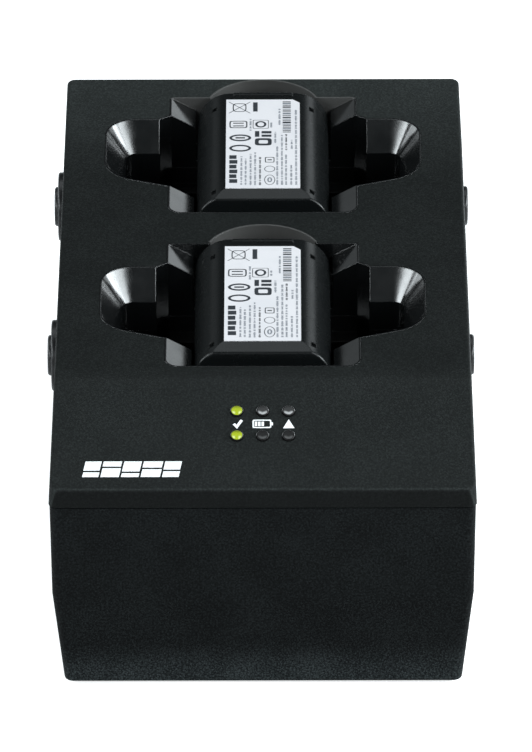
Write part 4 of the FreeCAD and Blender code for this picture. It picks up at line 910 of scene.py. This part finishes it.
@dataclass
class Pack:
    """One rechargeable pack, with the generic print on its label. Sizes are in millimetres."""

    row: str
    seed: int
    ink_low: float = 0.005
    ink_high: float = 0.03
    line_width: float = 0.52
    tick: float = 0.34
    tick_share: float = 0.62
    group_gap: float = 1.3
    wrap_band: tuple[float, float] = (0.78, 0.84)
    columns: tuple[tuple[float, float, float, int], ...] = (
        (-5.0, -19.4, -6.0, 1), (-4.0, -19.4, -7.0, 1), (-2.85, -19.6, -4.8, 1),
        (-1.8, -19.6, -4.0, 1), (-0.65, -19.6, -6.0, 0), (-2.9, 6.0, 12.0, 1),
        (1.95, 7.6, 10.4, 1), (2.9, 0.2, 5.8, 1), (3.35, -19.5, -0.8, 1),
        (4.45, -19.5, 4.2, 1), (5.4, -19.5, -5.0, 1), (5.45, -3.2, 4.4, 0),
        (6.6, -19.5, -10.0, 1), (6.75, -2.6, 2.0, 1), (7.75, -19.5, 16.8, 1),
        (3.9, 8.8, 16.6, 1),
    )

    def dress(self, dresser: Dresser) -> None:
        """Put the finishes on the CAD nodes."""
        low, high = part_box(f"pack_{self.row}_cells")
        band = tuple(low.y + share * (high.y - low.y) for share in self.wrap_band)
        wrap = Wrap(f"cell_wrap_{self.row}", (0.02, 0.09, 0.26), (0.7, 0.7, 0.68), band)
        dresser.dress(Stock.PACK_TOP, f"pack_{self.row}_upper_shell")
        dresser.dress(Stock.PACK_LOW, f"pack_{self.row}_lower_shell")
        dresser.dress(Stock.LABEL, f"pack_{self.row}_label")
        dresser.dress(wrap, f"pack_{self.row}_cells")
        dresser.dress(Stock.PACK_BOARD, f"pack_{self.row}_protection_board")
        dresser.dress(Stock.GOLD, f"pack_{self.row}_contact_pads")

    def label_sheet(self) -> Sheet:
        """The label's upper face."""
        low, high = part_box(f"pack_{self.row}_label")
        centre = Vector(((low.x + high.x) / 2, (low.y + high.y) / 2, high.z))
        return Sheet(centre, Vector((1, 0, 0)), Vector((0, 1, 0)))

    def build(self, dresser: Dresser) -> None:
        """Print the label: plain bars, rings, boxes and rows of ticks, no letters."""
        art = Slabs(self.label_sheet(), self.ink_low * MM, self.ink_high * MM)
        self._bold_marks(art)
        self._thin_marks(art)
        draw = np.random.default_rng(self.seed)
        for place in self.columns:
            self._tick_row(art, draw, *place)
        inks = [dresser.material(stock) for stock in (Stock.INK_DARK, Stock.INK_GREY)]
        piece = art.piece(f"pack_{self.row}_print", inks)
        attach(piece, f"pack_{self.row}")

    def _bold_marks(self, art: Slabs) -> None:
        """Level bars at the front, two rings, a solid bar and a bold block."""
        for i in range(6):
            art.bar(-7.8, -5.95 - 0.2 * (i % 2), -18.6 + 2.25 * i, -16.9 + 2.25 * i)
        art.ring(-5.3, -2.3, 2.55, 1.6, 0.6)
        art.ring(-5.3, 2.6, 2.55, 1.6, 0.6)
        art.bar(-6.4, -4.2, 2.3, 2.9)
        art.bar(-2.3, -1.25, 15.2, 19.6)
        art.ring(0.1, 0.7, 1.95, 1.7, 0.85, 5.0)
        art.bar(-1.85, -0.85, 3.1, 5.8)
        art.bar(-0.3, 2.0, 3.1, 4.1)
        art.bar(-0.3, 2.0, 4.7, 5.8)

    def _thin_marks(self, art: Slabs) -> None:
        """A crossed box, framed rings, ovals and a block of stripes."""
        art.stroke([(-8.0, 14.4), (-3.0, 19.8)], 0.14)
        art.stroke([(-8.0, 19.8), (-3.0, 14.4)], 0.14)
        art.ring(-5.5, 17.1, 1.6, 2.0, 0.22, 4.0)
        art.ring(-5.75, 9.0, 2.1, 1.7, 0.26, 6.0)
        art.bar(-7.0, -4.5, 8.1, 8.5)
        art.bar(-7.0, -4.5, 9.4, 9.8)
        art.ring(-0.5, 9.05, 1.85, 2.05, 0.12, 12.0)
        art.ring(-0.5, 9.05, 1.3, 1.5, 0.5)
        art.ring(1.6, -17.2, 1.25, 2.35, 0.14)
        art.ring(1.6, -17.2, 0.55, 1.1, 0.3, ink=1)
        art.ring(1.6, -12.1, 1.25, 1.4, 0.14)
        art.ring(1.6, -7.8, 1.1, 1.25, 0.2, 8.0)
        art.bar(1.1, 2.1, -8.0, -7.6)
        stripes = (
            5.2, 0.3, 5.9, 0.3, 6.6, 0.55, 7.5, 0.3, 8.2, 0.3, 8.8, 0.3, 9.5, 0.75, 10.6, 0.3,
            11.3, 0.3, 12.0, 0.55, 13.0, 0.3, 13.8, 0.7, 14.9, 0.3, 15.6, 0.3, 16.2, 0.3,
            17.0, 0.6, 18.0, 0.3, 18.7, 0.6, 19.6, 0.4,
        )
        for i, (start, width) in enumerate(zip(stripes[::2], stripes[1::2])):
            art.bar(4.65, 6.55, start, start + width, ink=i % 3 // 2)

    def _tick_row(
        self, art: Slabs, draw: np.random.Generator, x: float, y0: float, y1: float, ink: int
    ) -> None:
        """Fill one row at x, from y0 to y1, with ticks in groups, in place of small print."""
        at = y0
        while at < y1 - self.tick:
            for _ in range(int(draw.integers(2, 8))):
                if at > y1 - self.tick:
                    break
                half = self.line_width / 2 * float(draw.uniform(0.6, 1.0))
                art.bar(x - half, x + half, at, at + self.tick * self.tick_share, ink=ink)
                at += self.tick
            at += self.tick * self.group_gap


@dataclass
class Indicators:
    """Lenses, lamps and the marks on the sloped panel. Sizes are in millimetres."""

    case: Case
    glow: float = 0.25
    # colour level of the painted highlight on the idle lenses' hole edge
    idle_rim: float = 0.4
    ink_low: float = 0.005
    ink_high: float = 0.035
    lens_rows: Mapping[str, float] = field(default_factory=lambda: {"rear": 9.43, "front": 15.94})

    def panel(self) -> Sheet:
        """The panel's face, measured from the fold, with along running up the slope."""
        low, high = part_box("top_cover")
        fold = Vector((0.0, low.y + self.case.panel_length * MM, high.z))
        foot = Vector((0.0, low.y + self.case.panel_setback * MM, self.case.panel_foot_height * MM))
        return Sheet(fold, Vector((1, 0, 0)), (fold - foot).normalized())

    def dress(self, dresser: Dresser) -> None:
        """Put the finishes on the CAD nodes; the ready lamps are lit."""
        for row in ("rear", "front"):
            for column in ("ready", "charging", "fault"):
                dresser.dress(self._lens(column, row), f"lens_{column}_{row}")
        dresser.dress(Stock.BOARD, "indicator_board")
        dresser.dress(Stock.CERAMIC, "indicator_lamps")
        dresser.dress(Stock.FLEX, "panel_lead")

    def _lens(self, column: str, row: str) -> Lens:
        """Finish of one lens; the ready ones are lit, and the rear idle ones catch more painted
        light: a paler core and a brighter painted highlight.
        """
        low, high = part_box(f"lens_{column}_{row}")
        sheet = self.panel()
        centre = sheet.origin - sheet.along * (self.lens_rows[row] * MM)
        centre.x = (low.x + high.x) / 2
        place = (tuple(centre), tuple(sheet.along))
        if column == "ready":
            # the second and third colours are painted highlights, low on the dome and on the hole's
            # edge
            core, glint, rim_highlight = (0.27, 0.33, 0.012), (0.6, 0.66, 0.3), (0.3, 0.31, 0.28)
            return Lens(f"lens_lit_{row}", *place, core, glint, rim_highlight, self.glow, split=1.0)
        # painted light: the rear idle lenses get a brighter painted highlight and a paler core than
        # the front ones
        shine, tone = (0.44, 0.035) if row == "rear" else (0.08, 0.012)
        colours = [(level,) * 3 for level in (tone, shine, self.idle_rim)]
        return Lens(f"lens_dark_{column}_{row}", *place, *colours, 0.0)

    def build(self, dresser: Dresser) -> None:
        """Print the panel: tick, battery, triangle and a row of leaning bars."""
        marks = Slabs(self.panel(), self.ink_low * MM, self.ink_high * MM)
        marks.stroke([(-6.4, -12.75), (-5.75, -13.5), (-4.62, -11.75)], 0.64)
        marks.ring(-0.15, -12.75, 2.1, 1.12, 0.3, 9.0)
        marks.bar(1.95, 2.3, -13.15, -12.35)
        for i in range(3):
            marks.bar(-1.75 + 0.75 * i, -1.2 + 0.75 * i, -13.35, -12.15)
        marks.strip(
            np.array([[4.53, -13.92], [5.81, -11.56]]) * MM,
            np.array([[7.1, -13.92], [5.83, -11.56]]) * MM,
        )
        self._bar_mark(marks)
        piece = marks.piece("panel_marks", [dresser.material(Stock.INK_WHITE)])
        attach(piece, "charger")

    def _bar_mark(self, marks: Slabs) -> None:
        """Row of leaning bars with slits, low at the left and at the right."""
        widths = (3.6, 4.1, 3.9, 4.3, 3.7)
        slits = (0.36, 0.62, 0.3, 0.55, 0.42)
        low, high, lean, gap, slit_half = -26.7, -22.6, 0.75, 0.45, 0.22
        x = -40.0
        for width, slit in zip(widths, slits):
            split = low + (high - low) * slit
            over = x + lean * slit
            marks.bar(x, x + width, low, split - slit_half, lean * slit)
            marks.bar(over, over + width, split + slit_half, high, lean * (1 - slit))
            x += width + gap


@dataclass
class Electronics:
    """Main board with what stands on it. Sizes are in millimetres."""

    part: tuple[float, float, float] = (1.6, 0.8, 0.6)
    cap: float = 0.3
    waist: float = 0.94
    solder: float = 0.005
    rows: tuple[tuple[float, float, int, float], ...] = (
        (-14.0, -24.0, 7, 2.6), (-14.0, -20.5, 7, 2.6), (-10.0, 22.0, 6, 3.0),
        (-10.0, 25.0, 6, 3.0), (-27.0, 32.5, 5, 2.6), (17.0, 32.5, 5, 2.6),
        (-8.0, -48.0, 6, 2.8), (-28.0, -40.0, 4, 3.0), (18.0, -40.0, 4, 3.0),
    )

    def dress(self, dresser: Dresser) -> None:
        """Put the finishes on."""
        dresser.dress(Stock.BOARD, "main_board")
        dresser.dress(Stock.SCREW, "board_screws")
        dresser.dress(Stock.INLET, "dc_inlet")
        dresser.dress(Stock.GOLD, "dc_inlet_pin")
        dresser.dress(Stock.FERRITE, "inductors")
        dresser.dress(Stock.CAN, "capacitors")
        dresser.dress(Stock.CHIP, "charger_chips", "processor_chip")
        dresser.dress(Stock.HEADER, "board_headers")
        dresser.dress(Stock.FLEX, "contact_leads")

    def build(self, dresser: Dresser) -> None:
        """Solder small parts onto the main board, in rows.

        Each part is a rectangle carried along X through six stations, a wider cap at each end
        and the body between them. Quads join each station's corners to the next station's.
        """
        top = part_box("main_board")[1].z + self.solder * MM
        length, width, height = (v * MM for v in self.part)
        cap = self.cap * MM
        stations = np.array([0.0, cap, cap, length - cap, length - cap, length])
        swell = np.array([1.0, 1.0, self.waist, self.waist, 1.0, 1.0])
        corners = np.array([[-0.5, 0.0], [0.5, 0.0], [0.5, 1.0], [-0.5, 1.0]])
        grid = np.zeros((6, 4, 3))
        grid[:, :, 0] = stations[:, None]
        grid[:, :, 1] = corners[None, :, 0] * width * swell[:, None]
        grid[:, :, 2] = corners[None, :, 1] * height * swell[:, None]
        ring = np.arange(4)
        nxt = (ring + 1) % 4
        quads = [
            np.stack([s + 4 + ring, s + 4 + nxt, s + nxt, s + ring], 1) for s in range(0, 20, 4)
        ]
        ends = np.array([[0, 1, 2, 3], [23, 22, 21, 20]])
        faces = np.concatenate(quads + [ends])
        numbers = [0] * 8 + [1] * 4 + [0] * 10
        points, all_faces, inks = [], [], []
        for x0, y, count, pitch in self.rows:
            for i in range(count):
                shift = np.array([(x0 + i * pitch) * MM, y * MM, top])
                all_faces += [tuple(f) for f in (faces + 24 * len(points)).tolist()]
                points.append(grid.reshape(-1, 3) + shift)
                inks += numbers
        materials = [dresser.material(Stock.TIN), dresser.material(Stock.CHIP_BODY)]
        piece = mesh_piece("board_parts", np.concatenate(points), all_faces, materials, inks)
        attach(piece, "charger")


@dataclass
class LinkPorts:
    """Side ports: plugs, rings, the sockets behind them and their leads."""

    def dress(self, dresser: Dresser) -> None:
        """Put the finishes on."""
        for row in ("rear", "front"):
            dresser.dress(Stock.PORT, f"link_bezel_{row}")
            dresser.dress(Stock.PORT, f"link_plug_left_{row}", f"link_plug_right_{row}")
        dresser.dress(Stock.INSULATOR, "link_sockets_left", "link_sockets_right")
        dresser.dress(Stock.JACKET, "link_leads")


# ---- studio ------------------------------------

@dataclass(frozen=True)
class Softbox:
    """One rectangular light."""

    name: str
    place: tuple[float, float, float]
    aim_height: float
    size: tuple[float, float]
    power: float
    colour: Colour = (0.9, 0.97, 1.0)

    def make(self) -> None:
        """Hang the light and point it at that height above the frame's origin."""
        data = bpy.data.lights.new(self.name, "AREA")
        data.shape = "RECTANGLE"
        data.size, data.size_y = self.size
        data.energy = self.power
        data.color = self.colour
        lamp = bpy.data.objects.new(self.name, data)
        lamp.location = self.place
        toward = Vector((0.0, 0.0, self.aim_height)) - Vector(self.place)
        lamp.rotation_euler = toward.to_track_quat("-Z", "Y").to_euler()
        bpy.context.scene.collection.objects.link(lamp)


@dataclass
class Studio:
    """Pale floor, soft lights and the camera."""

    lens: float = 378.87
    target: tuple[float, float, float] = (0.000646, 0.0, 0.031214)
    distance: float = 1.830955
    elevation: float = 31.162
    azimuth: float = 0.123
    roll: float = -0.184
    ambient: float = 0.07
    sky: Colour = (0.84, 0.96, 1.0)
    floor_half: float = 6.0
    floor_cells: int = 8
    boxes: tuple[Softbox, ...] = (
        Softbox("overhead", (0.0, 0.5, 1.35), 0.0, (1.2, 0.9), 5.9),
        Softbox("left_wall", (-0.85, 0.4, 0.38), 0.04, (0.5, 0.5), 3.0),
        Softbox("right_wall", (0.85, 0.3, 0.38), 0.04, (0.7, 0.5), 2.0),
        Softbox("left_strip", (-0.69, -0.62, 0.6), 0.04, (1.3, 0.15), 8.0),
        Softbox("right_strip", (0.69, -0.62, 0.6), 0.04, (1.3, 0.2), 9.5),
        Softbox("left_side", (-0.93, -0.05, 0.33), 0.05, (0.5, 0.12), 1.6),
        Softbox("right_side", (0.93, -0.05, 0.35), 0.05, (0.8, 0.26), 10.0),
        Softbox("left_rear", (-0.5, 1.02, 0.42), 0.06, (0.24, 0.3), 0.06),
        Softbox("right_rear", (0.5, 1.02, 0.42), 0.06, (0.24, 0.3), 0.36),
    )

    def build(self, dresser: Dresser) -> None:
        """Put up the floor, lights and camera."""
        self._floor(dresser)
        for box in self.boxes:
            box.make()
        self._world()
        self._camera()
        bpy.context.scene.view_settings.view_transform = "Standard"

    def _floor(self, dresser: Dresser) -> None:
        """Flat square at table height, as a grid of points whose height is nought."""
        n = self.floor_cells
        side = np.linspace(-self.floor_half, self.floor_half, n + 1)
        x, y = np.meshgrid(side, side, indexing="ij")
        points = np.stack([x.ravel(), y.ravel(), np.zeros(x.size)], 1)
        i, j = np.meshgrid(np.arange(n), np.arange(n), indexing="ij")
        first = (i * (n + 1) + j).ravel()
        faces = np.stack([first, first + n + 1, first + n + 2, first + 1], 1)
        rows = [tuple(f) for f in faces.tolist()]
        floor = mesh_piece("floor", points, rows, [dresser.material(Stock.PAPER)])

    def _world(self) -> None:
        """Even pale surroundings."""
        world = bpy.data.worlds.new("studio")
        world.use_nodes = True
        shade = world.node_tree.nodes["Background"]
        shade.inputs["Color"].default_value = (*self.sky, 1.0)
        shade.inputs["Strength"].default_value = self.ambient
        bpy.context.scene.world = world

    def _camera(self) -> None:
        """Place the camera by its distance and angles from the target."""
        az, el, roll = (math.radians(v) for v in (self.azimuth, self.elevation, self.roll))
        back = Vector((math.sin(az) * math.cos(el), -math.cos(az) * math.cos(el), math.sin(el)))
        right = Vector((math.cos(az), math.sin(az), 0.0))
        up = back.cross(right)
        turned = right * math.cos(roll) + up * math.sin(roll)
        upward = up * math.cos(roll) - right * math.sin(roll)
        data = bpy.data.cameras.new("camera")
        data.lens = self.lens
        data.dof.use_dof = False
        camera = bpy.data.objects.new("camera", data)
        basis = Matrix((turned, upward, back)).transposed().to_4x4()
        camera.matrix_world = Matrix.Translation(Vector(self.target) + back * self.distance) @ basis
        bpy.context.scene.collection.objects.link(camera)
        bpy.context.scene.camera = camera


def main() -> None:
    """Dress the frame, build the new pieces and set up the studio."""
    logging.basicConfig(level=logging.INFO, format="%(name)s %(message)s")
    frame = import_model()
    dresser = Dresser(frame)
    case = Case()
    case.dress(dresser)
    for row in ("rear", "front"):
        bay = Bay(row)
        bay.dress(dresser)
        bay.build(dresser)
    for seed, row in enumerate(("rear", "front")):
        pack = Pack(row, 11 + seed)
        pack.dress(dresser)
        pack.build(dresser)
    indicators = Indicators(case)
    indicators.dress(dresser)
    indicators.build(dresser)
    electronics = Electronics()
    electronics.dress(dresser)
    electronics.build(dresser)
    LinkPorts().dress(dresser)
    Studio().build(dresser)


if __name__ == "__main__":
    main()
